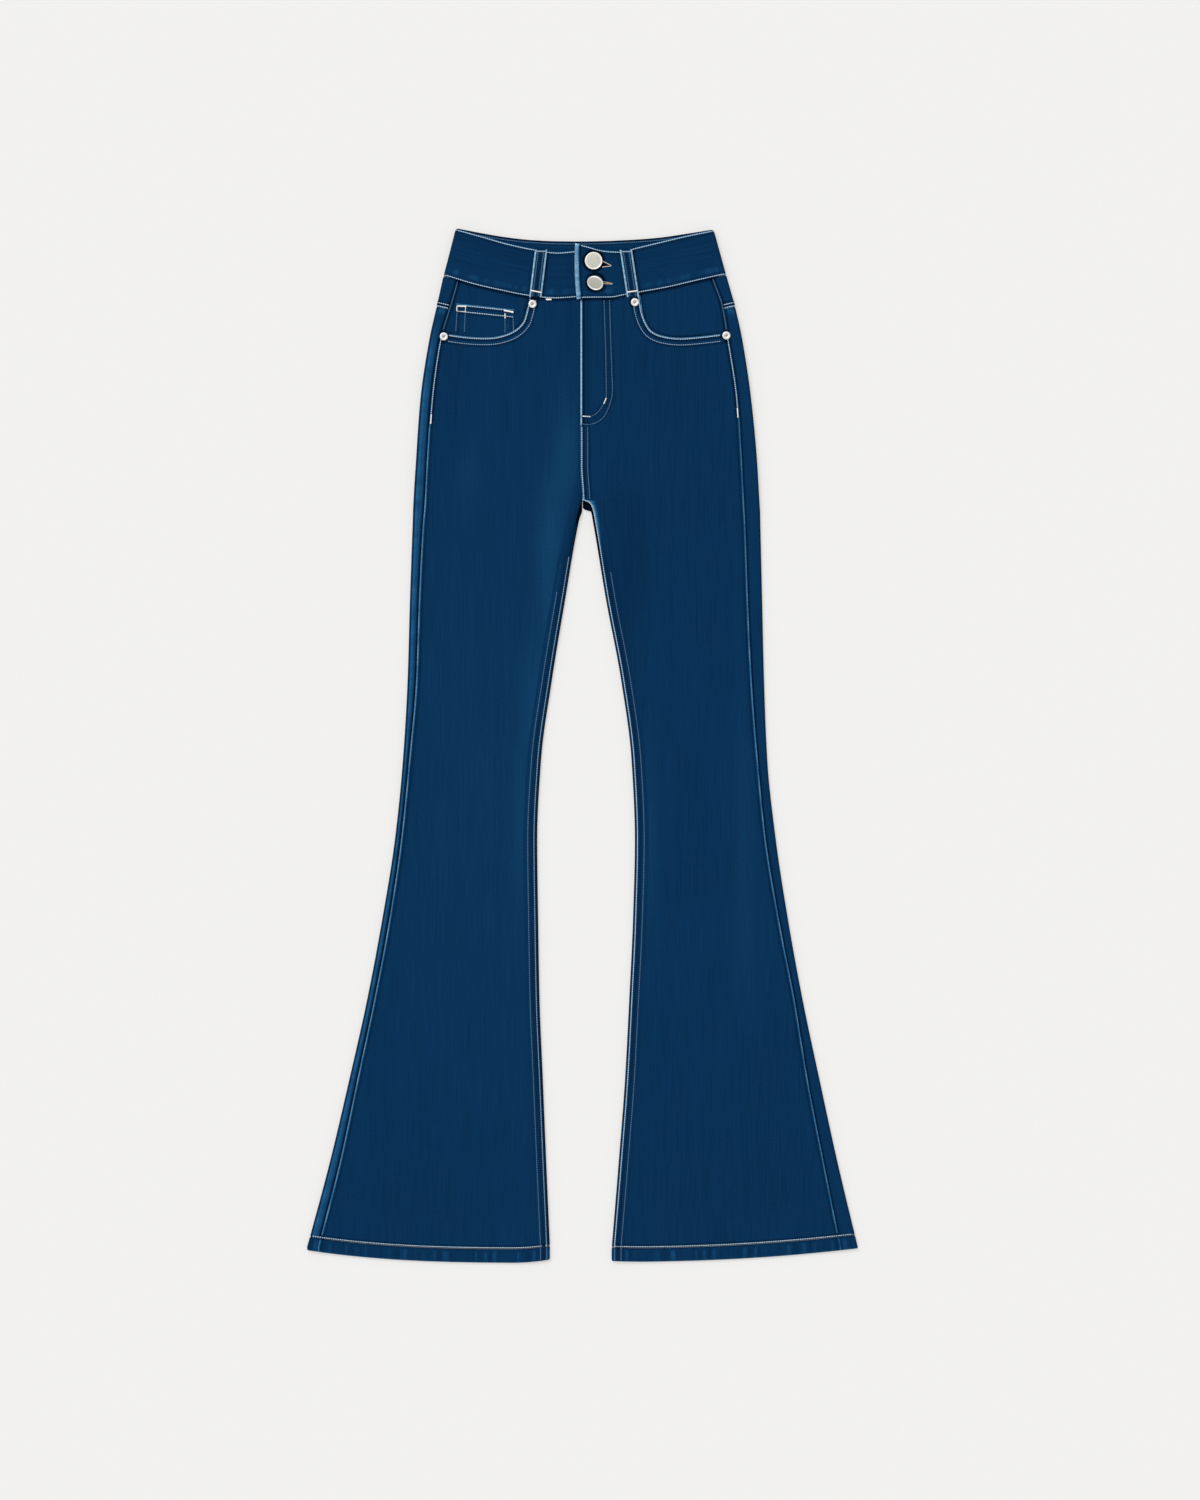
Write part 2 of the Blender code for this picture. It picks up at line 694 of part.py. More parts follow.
def back_pocket(side, finish):
    """A plain patch pocket with a pointed bottom, under the seat."""
    columns = 7
    rows = 5
    outer = []
    inner = []
    for row in range(rows):
        share = row / (rows - 1)
        outer_row = []
        inner_row = []
        for column in range(columns):
            aside = 2.0 * column / (columns - 1) - 1.0
            across = POCKET_CENTRE + aside * (POCKET_WIDTH - POCKET_TAPER * share) / 2.0
            depth = POCKET_DEPTH + POCKET_POINT * (1.0 - abs(aside))
            down = POCKET_TOP + POCKET_TILT * aside / 2.0 + depth * share
            outer_row.append(place(side, across, down, 0.0))
            inner_row.append(place(side, across, down, CLOTH))
        outer.append(outer_row)
        inner.append(inner_row)
    return add_wall(f"back_pocket_{side}", outer, inner, finish)


def band_height(side, across):
    """Top of the front waistband: the left end rises over the lap, the right end drops under it."""
    if side == "left":
        return BAND_TOP + LAP_RISE * (1.0 - smooth(*LAP_RISE_ENDS, across))
    return BAND_TOP - UNDERLAP_DROP * (1.0 - smooth(*UNDERLAP_DROP_ENDS, across))


def band_points(side, place_on, along, share):
    """Outer and inner point of the waistband, at a share of its height below the top edge.

    place_on is "front", "back" or the angle of a point on the side fold.
    """
    radius = BAND_THICKNESS / 2.0
    fold = blend(BAND_FOLD_TOP[side], BAND_FOLD_SEAM[side], share)
    tangent = fold - radius
    across = tangent * (1.0 - along)
    back_end = back_band_bottom(side, along) - SEAM_GAP / 2.0
    back_down = blend(waist(side, "back_top", along), back_end, share)
    seam = waist(side, "front_seam", along) - SEAM_GAP / 2.0
    front_down = blend(waist(side, "front_top", along), seam, share)
    if place_on == "front":
        top = band_height(side, across)
        heights = (top, top - BAND_CLOTH)
        return tuple(place(side, across, front_down, height) for height in heights)
    if place_on == "back":
        heights = (SEAT_LIFT, SEAT_LIFT + BAND_CLOTH)
        return tuple(place(side, across, back_down, height) for height in heights)
    down = blend(back_down, front_down, place_on / math.pi)
    points = []
    for reach in (radius, radius - BAND_CLOTH):
        height = SEAT_LIFT + radius - reach * math.cos(place_on)
        points.append(place(side, tangent + reach * math.sin(place_on), down, height))
    return tuple(points)


def waistband(finish):
    """One strip from the lap round the back to the underlap, with a hole for each shank."""
    angles = [math.pi * step / FOLD_STEPS for step in range(1, FOLD_STEPS)]
    stations = [("left", "front", along) for along in LAP_STEPS + FRONT_STEPS]
    stations += [("left", angle, 0.0) for angle in reversed(angles)]
    stations += [("left", "back", along) for along in BACK_STEPS]
    stations += [("right", "back", along) for along in (1.0,) + tuple(reversed(BACK_STEPS))]
    stations += [("right", angle, 0.0) for angle in angles]
    stations += [("right", "front", along) for along in (0.0,) + UNDERLAP_STEPS]
    outer = []
    inner = []
    for share in BAND_ROWS:
        row = [band_points(side, place_on, along, share) for side, place_on, along in stations]
        outer.append([pair[0] for pair in row])
        inner.append([pair[1] for pair in row])
    return add_wall("waistband", outer, inner, finish, holes=SHANK_HOLES)


def hem_pair(side, station, down):
    """Outer and inner point of a hem below a column of the back or the front panel."""
    panel, column = station
    if panel == "back":
        outer, inner = back_points(side, down, column)
    else:
        columns = len(front_top_row(side))
        across = panel_across(side, down, column, columns - len(EDGE_STEPS))
        top = front_top(side, across, down)
        outer = place(side, across, down, top)
        inner = place(side, across, down, top - CLOTH)
    return (outer, outer + (inner - outer) * (HEM_CLOTH / CLOTH))


def hem(side, finish):
    """The turned-up edge of a leg, all round it."""
    rows = 3
    front_columns = range(len(front_top_row(side)))
    stations = [("back", column) for column in range(BACK_COLUMNS)]
    stations += [("front", column) for column in front_columns]
    outer = []
    inner = []
    for index in range(rows):
        row = []
        for station in stations:
            down = LENGTH - HEM_BAND
            for _ in range(4):
                end = hem_line(side, across_of(side, hem_pair(side, station, down)[0]))
                down = blend(end - HEM_BAND + SEAM_GAP / 2.0, end, index / (rows - 1))
            row.append(hem_pair(side, station, down))
        outer.append([pair[0] for pair in row])
        inner.append([pair[1] for pair in row])
    return add_wall(f"hem_{side}", outer, inner, finish, ring=True)


def belt_loop(loop, finish):
    """A strip sewn down at both ends, bowed a little off the waistband in front."""
    outer = []
    inner = []
    for step in range(LOOP_STEPS + 1):
        share = step / LOOP_STEPS
        middle = blend(loop.top_across, loop.end_across, share)
        down = blend(loop.top_down, loop.end_down, share)
        bow = LOOP_BOW * math.sin(math.pi * share) ** 2
        low = 0.0 if loop.back else BAND_TOP + SEAM_GAP + bow
        high = SEAT_LIFT - SEAM_GAP if loop.back else low + LOOP_CLOTH
        outer_row = []
        inner_row = []
        for aside in (-0.5, 0.0, 0.5):
            across = middle + aside * LOOP_WIDTH
            outer_row.append(place("left", across, down, high))
            inner_row.append(place("left", across, down, low))
        outer.append(outer_row)
        inner.append(inner_row)
    return add_wall(loop.name, outer, inner, finish)


def add_turned(name, profile, sides, finish):
    """A solid turned about Z from (radius, height) points that start and end on the axis."""
    mesh = bmesh.new()
    rings = []
    for radius, height in profile[1:-1]:
        ring = []
        for side in range(sides):
            angle = 2.0 * math.pi * side / sides
            ring.append(mesh.verts.new((radius * math.cos(angle), radius * math.sin(angle), height)))
        rings.append(ring)
    for ring, (_, height), order in ((rings[0], profile[0], 1), (rings[-1], profile[-1], -1)):
        tip = mesh.verts.new((0.0, 0.0, height))
        for side in range(sides):
            mesh.faces.new((tip, ring[side], ring[(side + 1) % sides])[::order])
    for low, high in zip(rings, rings[1:]):
        for side in range(sides):
            after = (side + 1) % sides
            mesh.faces.new((low[side], low[after], high[after], high[side]))
    return add_object(name, mesh, finish)


def place_turned(piece, turned):
    centre = (turned.x, LENGTH / 2.0 - turned.down, turned.seat)
    piece.matrix_world = Matrix.Translation(centre) @ Matrix.Rotation(turned.lean, 4, LEAN_AXIS)
    return piece


def button(turned, finish):
    """A shank button: its shank passes through the hole in the lap to the underlap."""
    face = BUTTON_HEIGHT - BUTTON_DISH
    clear = SEAM_GAP + SHANK_RADIUS * math.sin(turned.lean)
    shank = (turned.seat - UNDERLAP_TOP - clear) / math.cos(turned.lean)
    profile = (
        (0.0, -shank),
        (SHANK_RADIUS, -shank),
        (SHANK_RADIUS, 0.0),
        (turned.radius * 0.80, 0.0),
        (turned.radius, BUTTON_HEIGHT * 0.38),
        (turned.radius - BUTTON_RIM * 0.30, BUTTON_HEIGHT * 0.86),
        (turned.radius - BUTTON_RIM * 0.75, BUTTON_HEIGHT),
        (turned.radius - BUTTON_RIM * 1.30, face),
        (turned.radius * 0.45, face + BUTTON_DISH * 0.5),
        (0.0, face + BUTTON_DISH * 0.7),
    )
    return place_turned(add_turned(turned.name, profile, BUTTON_SIDES, finish), turned)


def rivet(turned, finish):
    """A low domed rivet with a small raised middle."""
    profile = (
        (0.0, 0.0),
        (turned.radius, 0.0),
        (turned.radius * 0.93, RIVET_HEIGHT * 0.45),
        (turned.radius * 0.55, RIVET_HEIGHT * 0.80),
        (turned.radius * 0.30, RIVET_HEIGHT * 0.70),
        (turned.radius * 0.22, RIVET_HEIGHT),
        (0.0, RIVET_HEIGHT),
    )
    return place_turned(add_turned(turned.name, profile, RIVET_SIDES, finish), turned)


def build():
    for old in list(bpy.data.objects):
        bpy.data.objects.remove(old, do_unlink=True)
    denim = material("denim", (0.022, 0.028, 0.052), 0.85)
    metal = material("metal", (0.62, 0.60, 0.56), 0.35, 1.0)
    for side in SIGN:
        back_panel(side, denim)
        back_yoke(side, denim)
        front_panel(side, denim)
        pocket_facing(side, denim)
        back_pocket(side, denim)
        hem(side, denim)
    coin_pocket(denim)
    waistband(denim)
    for loop in LOOPS:
        belt_loop(loop, denim)
    for turned in BUTTONS:
        button(turned, metal)
    for turned in RIVETS:
        rivet(turned, metal)


build()
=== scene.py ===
import math
from collections import namedtuple
from functools import cache

import bpy
from mathutils import Matrix, Vector


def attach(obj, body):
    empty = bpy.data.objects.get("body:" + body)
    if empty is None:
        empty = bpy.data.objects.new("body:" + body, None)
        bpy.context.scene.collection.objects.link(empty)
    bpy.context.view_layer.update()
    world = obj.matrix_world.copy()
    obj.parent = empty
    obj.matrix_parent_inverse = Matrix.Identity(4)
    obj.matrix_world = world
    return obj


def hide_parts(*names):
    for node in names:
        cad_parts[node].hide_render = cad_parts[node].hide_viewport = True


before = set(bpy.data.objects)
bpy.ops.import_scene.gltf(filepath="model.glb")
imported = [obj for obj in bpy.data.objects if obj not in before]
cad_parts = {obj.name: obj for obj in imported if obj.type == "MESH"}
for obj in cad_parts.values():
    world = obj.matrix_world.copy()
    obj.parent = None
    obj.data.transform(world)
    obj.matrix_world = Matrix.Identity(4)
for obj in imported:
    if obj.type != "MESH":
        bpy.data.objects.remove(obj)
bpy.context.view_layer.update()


# ---- Back panels ----
# Each back panel is one leg and half the seat, cut from a dark petrol blue stretch denim twill.
# It lies on the ground and rolls forward over both edges of the leg, where the front panel is
# sewn to it.  Places are given by side as worn, by across, the distance from the centre line
# towards that side, and by down, the distance below the highest point of the waist.

LENGTH = 1.0966
CROTCH = 0.288
SEAM_GAP = 0.0003
HALF_GAP = SEAM_GAP / 2.0
CLOTH = 0.0012
SIGN = {"right": -1.0, "left": 1.0}

# The legs are tubes pressed flat: distances across of the outer fold, outseam and inner fold
Section = namedtuple("Section", "down outer outseam inner")


def table(kind, *rows):
    """Rows of values, each with the names that its kind of row gives them."""
    return tuple(kind(*row) for row in rows)


SECTIONS = {
    "right": table(
        Section,
        (0.040, 0.1450, 0.1305, 0.0000),
        (0.055, 0.1485, 0.1335, 0.0000),
        (0.080, 0.1540, 0.1405, 0.0000),
        (0.118, 0.1625, 0.1515, 0.0000),
        (0.182, 0.1720, 0.1605, 0.0000),
        (0.245, 0.1765, 0.1650, 0.0000),
        (0.297, 0.1796, 0.1678, 0.0000),
        (0.309, 0.1800, 0.1690, 0.0035),
        (0.394, 0.1830, 0.1735, 0.0185),
        (0.479, 0.1855, 0.1765, 0.0325),
        (0.564, 0.1905, 0.1840, 0.0440),
        (0.648, 0.1990, 0.1925, 0.0480),
        (0.733, 0.2125, 0.2050, 0.0470),
        (0.818, 0.2285, 0.2210, 0.0455),
        (0.903, 0.2475, 0.2390, 0.0420),
        (0.988, 0.2675, 0.2570, 0.0385),
        (1.080, 0.2920, 0.2805, 0.0345),
    ),
    "left": table(
        Section,
        (0.040, 0.1500, 0.1360, 0.0000),
        (0.055, 0.1540, 0.1400, 0.0000),
        (0.080, 0.1610, 0.1490, 0.0000),
        (0.118, 0.1695, 0.1555, 0.0000),
        (0.182, 0.1790, 0.1650, 0.0000),
        (0.245, 0.1850, 0.1690, 0.0000),
        (0.297, 0.1881, 0.1717, 0.0000),
        (0.300, 0.1883, 0.1719, 0.0088),
        (0.309, 0.1885, 0.1725, 0.0107),
        (0.394, 0.1905, 0.1755, 0.0250),
        (0.479, 0.1925, 0.1795, 0.0410),
        (0.564, 0.1960, 0.1860, 0.0520),
        (0.648, 0.2050, 0.1945, 0.0555),
        (0.733, 0.2180, 0.2085, 0.0535),
        (0.818, 0.2335, 0.2250, 0.0495),
        (0.903, 0.2515, 0.2390, 0.0450),
        (0.988, 0.2700, 0.2555, 0.0385),
        (1.080, 0.2920, 0.2740, 0.0310),
    ),
}
SEAT_THICKNESS = 0.0053
LEG_THICKNESS = 0.0050
SEAT_LIFT = 0.0015
LIFT_ENDS = 0.275
LEG_RESTS = 0.325


def smooth(start, end, value):
    """0 before start, 1 after end, with a soft turn at both."""
    step = min(1.0, max(0.0, (value - start) / (end - start)))
    return step * step * (3.0 - 2.0 * step)


def blend(first, second, share):
    return first + (second - first) * share


def slope_between(rows, column, index):
    rise = getattr(rows[index + 1], column) - getattr(rows[index], column)
    return rise / (rows[index + 1][0] - rows[index][0])


def slope_at(rows, column, index):
    """Slope of a table's column at one row, level where the column stops rising or falling."""
    before = slope_between(rows, column, max(0, index - 1))
    after = slope_between(rows, column, min(index, len(rows) - 2))
    if before * after <= 0.0:
        return 0.0
    return 2.0 * before * after / (before + after)


def read_table(rows, column, value):
    """A column of a table at any value of its first one, on a smooth curve through the rows."""
    value = min(max(value, rows[0][0]), rows[-1][0])
    index = 0
    while index < len(rows) - 2 and value > rows[index + 1][0]:
        index += 1
    start = rows[index][0]
    span = rows[index + 1][0] - start
    share = (value - start) / span
    low = getattr(rows[index], column)
    high = getattr(rows[index + 1], column)
    low_slope = slope_at(rows, column, index) * span
    high_slope = slope_at(rows, column, index + 1) * span
    square = share * share
    cube = square * share
    value = low * (2.0 * cube - 3.0 * square + 1.0) + high * (3.0 * square - 2.0 * cube)
    return value + low_slope * (cube - 2.0 * square + share) + high_slope * (cube - square)


@cache
def outer_fold(side, down):
    return read_table(SECTIONS[side], "outer", down)


@cache
def outseam(side, down):
    return read_table(SECTIONS[side], "outseam", down)


@cache
def inner_fold(side, down):
    return max(HALF_GAP, read_table(SECTIONS[side], "inner", down))


def back_bottom(down):
    """Height of the underside: the seat lies on its back pockets, the legs on the ground."""
    return SEAT_LIFT * (1.0 - smooth(LIFT_ENDS, LEG_RESTS, down))


def tube_thickness(down):
    return blend(SEAT_THICKNESS, LEG_THICKNESS, smooth(LIFT_ENDS, LEG_RESTS, down))


def fold_radius(down):
    return tube_thickness(down) / 2.0


UNDER = Vector((0.0, 0.0, -1.0))
OVER = Vector((0.0, 0.0, 1.0))


def place(side, across, down, height):
    return Vector((SIGN[side] * across, LENGTH / 2.0 - down, height))


def flat_place(side, across, down):
    """The same place on the cloth before it was folded round the leg."""
    return SIGN[side] * across, -down


# Soft troughs (below 0) and ridges in the front of each leg, where it lay folded or creased
Fold = namedtuple("Fold", "side across down length width slant height")
FOLDS = table(
    Fold,
    ("right", 0.060, 0.262, 0.120, 0.024, 0.50, -0.0006),
    ("left", 0.066, 0.266, 0.120, 0.024, 0.50, -0.0006),
    ("right", 0.112, 0.420, 0.190, 0.040, 1.45, 0.0008),
    ("left", 0.124, 0.450, 0.210, 0.040, 1.50, 0.0008),
    ("right", 0.118, 0.640, 0.110, 0.034, 0.35, -0.0007),
    ("left", 0.126, 0.655, 0.100, 0.034, -0.30, -0.0007),
    ("right", 0.142, 0.860, 0.230, 0.050, 1.30, 0.0010),
    ("left", 0.140, 0.840, 0.240, 0.050, 1.28, 0.0010),
    ("right", 0.196, 0.990, 0.150, 0.036, 1.22, -0.0008),
    ("left", 0.190, 1.000, 0.150, 0.036, 1.20, -0.0008),
    ("left", 0.036, 0.240, 0.070, 0.010, 1.15, -0.0003),
    ("left", 0.050, 0.318, 0.080, 0.011, 0.72, -0.0003),
    ("right", 0.030, 0.246, 0.080, 0.010, 1.10, -0.0003),
    ("right", 0.042, 0.322, 0.070, 0.010, 0.80, -0.0003),
    ("left", 0.122, 0.180, 0.060, 0.012, -0.20, -0.0003),
    ("right", 0.112, 0.196, 0.070, 0.012, -0.12, -0.0003),
)
LEG_SINK = 0.0012
SINK_SPAN = 0.22

# The same under the seat and legs, all of them pressed in, since the back lies on the ground
BACK_FOLDS = table(
    Fold,
    ("right", 0.085, 0.282, 0.100, 0.010, 0.22, 0.0005),
    ("left", 0.080, 0.290, 0.110, 0.011, 0.28, 0.0005),
    ("right", 0.096, 0.318, 0.080, 0.009, 0.12, 0.0004),
    ("left", 0.104, 0.330, 0.085, 0.010, 0.16, 0.0004),
    ("right", 0.116, 0.590, 0.120, 0.012, 0.12, 0.0004),
    ("left", 0.120, 0.604, 0.110, 0.012, -0.15, 0.0004),
    ("right", 0.108, 0.634, 0.090, 0.010, -0.22, 0.0003),
    ("left", 0.128, 0.648, 0.100, 0.010, 0.10, 0.0003),
    ("right", 0.122, 0.450, 0.160, 0.012, 1.50, 0.0003),
    ("left", 0.126, 0.480, 0.170, 0.012, 1.46, 0.0003),
    ("right", 0.150, 0.900, 0.180, 0.014, 1.32, 0.0004),
    ("left", 0.146, 0.880, 0.190, 0.014, 1.30, 0.0004),
)


def soft_folds(folds, side, across, down):
    """Rise of the cloth where its soft folds run."""
    rise = 0.0
    for fold in folds:
        if fold.side == side and abs(down - fold.down) < fold.length:
            right, below = across - fold.across, down - fold.down
            along = right * math.cos(fold.slant) + below * math.sin(fold.slant)
            aside = below * math.cos(fold.slant) - right * math.sin(fold.slant)
            reach = (2.0 * along / fold.length) ** 2 + (aside / fold.width) ** 2
            rise += fold.height * math.exp(-2.0 * reach)
    return rise


def front_top(side, across, down):
    """Height of the outer face of the front layer, which sinks between the folds of a leg."""
    outer = outer_fold(side, down)
    inner = inner_fold(side, down)
    from_fold = min(outer - across, across - inner) / (outer - inner)
    legs = smooth(LIFT_ENDS, LEG_RESTS, down)
    settle = smooth(0.0, SINK_SPAN, from_fold)
    lie = soft_folds(FOLDS, side, across, down) - LEG_SINK * legs
    return back_bottom(down) + tube_thickness(down) + lie * settle


def on_front_layer(side, across, down):
    return place(side, across, down, front_top(side, across, down))


# Along a seam the cloth is thicker, pulled in at each row of thread, puckered, and worn pale
# on its highest edge.  These say how much, at a distance from the edge of a piece.
ROLL = 0.0006
ROLL_REACH = 0.0012
CHANNEL_DEPTH = 0.00032
CHANNEL_HALF = 0.0008


def rolled(distance):
    """How far the edge of a piece of cloth turns in."""
    return -ROLL * (1.0 - min(1.0, max(0.0, distance) / ROLL_REACH)) ** 2


def within(distance, end, fade):
    return 1.0 - smooth(end, end + fade, distance)


def line_at(distance, at, half):
    return math.exp(-(((distance - at) / half) ** 2))


def channel(distance, at):
    return -CHANNEL_DEPTH * line_at(distance, at, CHANNEL_HALF)


def ripple(along, length, seed):
    """Uneven puckers along a seam, from -1 to 1, about a length apart."""
    sway = 1.9 * math.sin(along / length * 1.17 + seed)
    size = 0.55 + 0.45 * math.sin(along / length * 1.71 + 2.1 * seed)
    return size * math.sin(math.tau * along / length + sway)


# Marks along a seam.  Each adds some lift, or some wear and shading, which is pale above 0 and
# dark below it: the pale marks are mostly wear, the dark ones mostly painted shade where the
# seam's steps and rows would shade the cloth.  An Edge reaches from the edge of the piece to its
# end and then fades, and a Line has its middle at a distance.
Edge = namedtuple("Edge", "size end fade")
Line = namedtuple("Line", "size at half")
Ripple = namedtuple("Ripple", "size length seed")


def marked(distance, *marks):
    """Lift, or wear and painted shade, of some marks at a distance from the edge that they lie
    beside.
    """
    total = 0.0
    for mark in marks:
        if isinstance(mark, Edge):
            total += mark.size * within(distance, mark.end, mark.fade)
        else:
            total += mark.size * line_at(distance, mark.at, mark.half)
    return total


def ripples(along, *parts):
    return sum(part.size * ripple(along, part.length, part.seed) for part in parts)


def spaced(start, *stops):
    """Values from start to each stop's end, at about its pitch."""
    values = [start]
    for end, pitch in stops:
        begin = values[-1]
        count = max(1, round(abs(end - begin) / pitch))
        values += [blend(begin, end, (step + 1) / count) for step in range(count)]
    return values


# A back panel's columns run from the inseam, at 0, round the leg to the outseam.  These are the
# columns where its inner fold, its underside, its outer fold and the strip at the outseam begin.
INNER_FOLD = 1.0
UNDERSIDE = 2.0
OUTER_FOLD = 3.0
OUTER_STRIP = 4.0
OUTSEAM = 5.0
BACK_COLUMNS = spaced(0.0, (INNER_FOLD, 0.25), (UNDERSIDE, 0.125), (2.08, 0.012),
                      (OUTER_FOLD, 0.0245), (OUTER_STRIP, 0.125), (OUTSEAM, 0.1))
INSEAM_INSET = 0.0031
WRAP_BEGINS = 0.288
WRAP_ENDS = 0.314
Cloth = namedtuple("Cloth", "point out across")


def back_cloth(side, down, column):
    """Point, outward direction and cloth's own distance across of a back panel."""
    radius = fold_radius(down)
    bottom = back_bottom(down)
    strip = INSEAM_INSET - radius
    wrap = smooth(WRAP_BEGINS, WRAP_ENDS, down) * (strip - HALF_GAP + math.pi * radius)
    inner_tangent = inner_fold(side, down) + radius * math.sin(min(math.pi / 2.0, wrap / radius))
    outer_tangent = outer_fold(side, down) - radius
    if column <= INNER_FOLD:
        length = strip * column - wrap
    elif column <= UNDERSIDE:
        length = strip + math.pi * radius * (column - INNER_FOLD) - wrap
    elif column <= OUTER_FOLD:
        start = strip + math.pi * radius - wrap
        length = blend(start, outer_tangent - inner_tangent, column - UNDERSIDE)
    elif column <= OUTER_STRIP:
        angle = math.pi * (column - OUTER_FOLD)
        grain = outer_tangent + radius * angle
        return fold_cloth(side, down, outer_tangent, angle, radius, grain)
    else:
        seam = outseam(side, down) + HALF_GAP
        across = blend(outer_tangent, seam, column - OUTER_STRIP)
        grain = outer_tangent + math.pi * radius + outer_tangent - across
        return Cloth(on_front_layer(side, across, down), OVER, grain)
    grain = inner_tangent + length
    if length >= 0.0:
        return Cloth(place(side, grain, down, bottom), UNDER, grain)
    beyond = -length - math.pi * radius
    if beyond > 0.0:
        return Cloth(on_front_layer(side, inner_tangent + beyond, down), OVER, grain)
    return fold_cloth(side, down, inner_tangent, length / radius, radius, grain)


def fold_cloth(side, down, tangent, angle, radius, grain):
    """Cloth on a fold, at an angle from straight down, with outwards positive."""
    out = Vector((SIGN[side] * math.sin(angle), 0.0, -math.cos(angle)))
    middle = place(side, tangent, down, back_bottom(down) + radius)
    return Cloth(middle + out * radius, out, grain)


YOKE_SIDE = 0.0826
YOKE_CENTRE = 0.120
HEM_BAND = 0.0145
Hem = namedtuple("Hem", "base rise power toe")
HEMS = {"right": Hem(0.0, 0.0135, 3.0, 0.0036), "left": Hem(0.0010, 0.0145, 2.2, 0.0010)}
TOE_SHARE = 0.16
TOP_EASES = 0.190
HEM_EASES = 0.960


def yoke_seam(side, across):
    outer = outer_fold(side, YOKE_SIDE)
    return blend(YOKE_CENTRE, YOKE_SIDE, min(1.0, max(0.0, across / outer)))


def hem_line(side, across):
    """Down of the bottom edge, which climbs towards the outer fold and a little at the inner one."""
    hem = HEMS[side]
    inner = inner_fold(side, LENGTH)
    share = min(1.0, max(0.0, (across - inner) / (outer_fold(side, LENGTH) - inner)))
    toe = hem.toe * max(0.0, 1.0 - share / TOE_SHARE) ** 2
    return LENGTH - hem.base - hem.rise * share ** hem.power - toe


# The rows of spots down a leg are counted in levels, which are downs before its edges bend them
BOTTOM_LEVEL = LENGTH - HEM_BAND - HALF_GAP


def ease_row(level, across, side, top, top_level):
    """Down of a point of a row, which follows the piece's own top and bottom edges near them."""
    down = level + (top - top_level) * (1.0 - smooth(top_level, TOP_EASES, level))
    bottom = hem_line(side, across) - HEM_BAND - HALF_GAP - BOTTOM_LEVEL
    return down + bottom * smooth(HEM_EASES, BOTTOM_LEVEL, level)


# The denim: fine upright streaks in the warp, a steep twill line, and the pale and dark places
# that the pieces carry in their wear attribute.  The pale places, first a clear mid
# blue and then almost white, are mostly wear, with some painted light where folds face the light;
# the dark places, towards the deep blue, are mostly painted shade beside seams, folds and fastenings
DENIM_BLUE = (0.0022, 0.0298, 0.0885, 1.0)
PALE_MID_BLUE = (0.0160, 0.1180, 0.2700, 1.0)
PALE_MID_AT = 0.30
PALEST_BLUE = (0.340, 0.560, 0.700, 1.0)
DEEP_BLUE = (0.0003, 0.0030, 0.0110, 1.0)
TWILL_ACROSS = 0.00105
TWILL_DOWN = 0.0021
FINE_STREAKS = (0.0011, 0.055)
BROAD_STREAKS = (0.0085, 0.26)
CLOUDS = (0.055, 0.090)
FRAYED_SPOTS = (0.0016, 0.0016)
DENIM_ROUGH = 0.80
WEAVE_DEPTH = 0.00016


def feed(tree, socket, value):
    if isinstance(value, bpy.types.NodeSocket):
        tree.links.new(value, socket)
    else:
        socket.default_value = value


def dress(tree, node, looks):
    """Give a node's inputs, by their names, a value or another node's output."""
    for name, value in looks.items():
        feed(tree, node.inputs[name], value)


def calculate(tree, operation, *values):
    step = tree.nodes.new("ShaderNodeMath")
    step.operation = operation
    for socket, value in zip(step.inputs, values):
        feed(tree, socket, value)
    return step.outputs[0]


def layered(tree, base, *parts):
    """A base with shares of some noises added, given as (noise, share)."""
    for noise, share in parts:
        base = calculate(tree, "MULTIPLY_ADD", noise, share, base)
    return base


def read_attribute(tree, name, output):
    reader = tree.nodes.new("ShaderNodeAttribute")
    reader.attribute_name = name
    return reader.outputs[output]


def speckle(tree, place_at, across, along, detail=2.0):
    """Noise whose spots are so wide across the cloth and so long along it, in metres."""
    spread = tree.nodes.new("ShaderNodeVectorMath")
    spread.operation = "MULTIPLY"
    tree.links.new(place_at, spread.inputs[0])
    spread.inputs[1].default_value = (1.0 / across, 1.0 / along, 1.0 / across)
    noise = tree.nodes.new("ShaderNodeTexNoise")
    dress(tree, noise, {"Scale": 1.0, "Detail": detail, "Vector": spread.outputs[0]})
    return noise.outputs["Fac"]


def mix_colour(tree, first, second, share, way="MIX"):
    mixed = tree.nodes.new("ShaderNodeMix")
    mixed.data_type = "RGBA"
    mixed.blend_type = way
    mixed.clamp_factor = True
    feed(tree, mixed.inputs["Factor"], share)
    feed(tree, mixed.inputs[6], first)
    feed(tree, mixed.inputs[7], second)
    return mixed.outputs[2]


def raise_surface(tree, shader, height, depth, strength):
    bump = tree.nodes.new("ShaderNodeBump")
    dress(tree, bump, {"Distance": depth, "Strength": strength, "Height": height})
    tree.links.new(bump.outputs["Normal"], shader.inputs["Normal"])


def new_finish(name):
    finish = bpy.data.materials.new(name)
    finish.use_nodes = True
    return finish, finish.node_tree, finish.node_tree.nodes["Principled BSDF"]


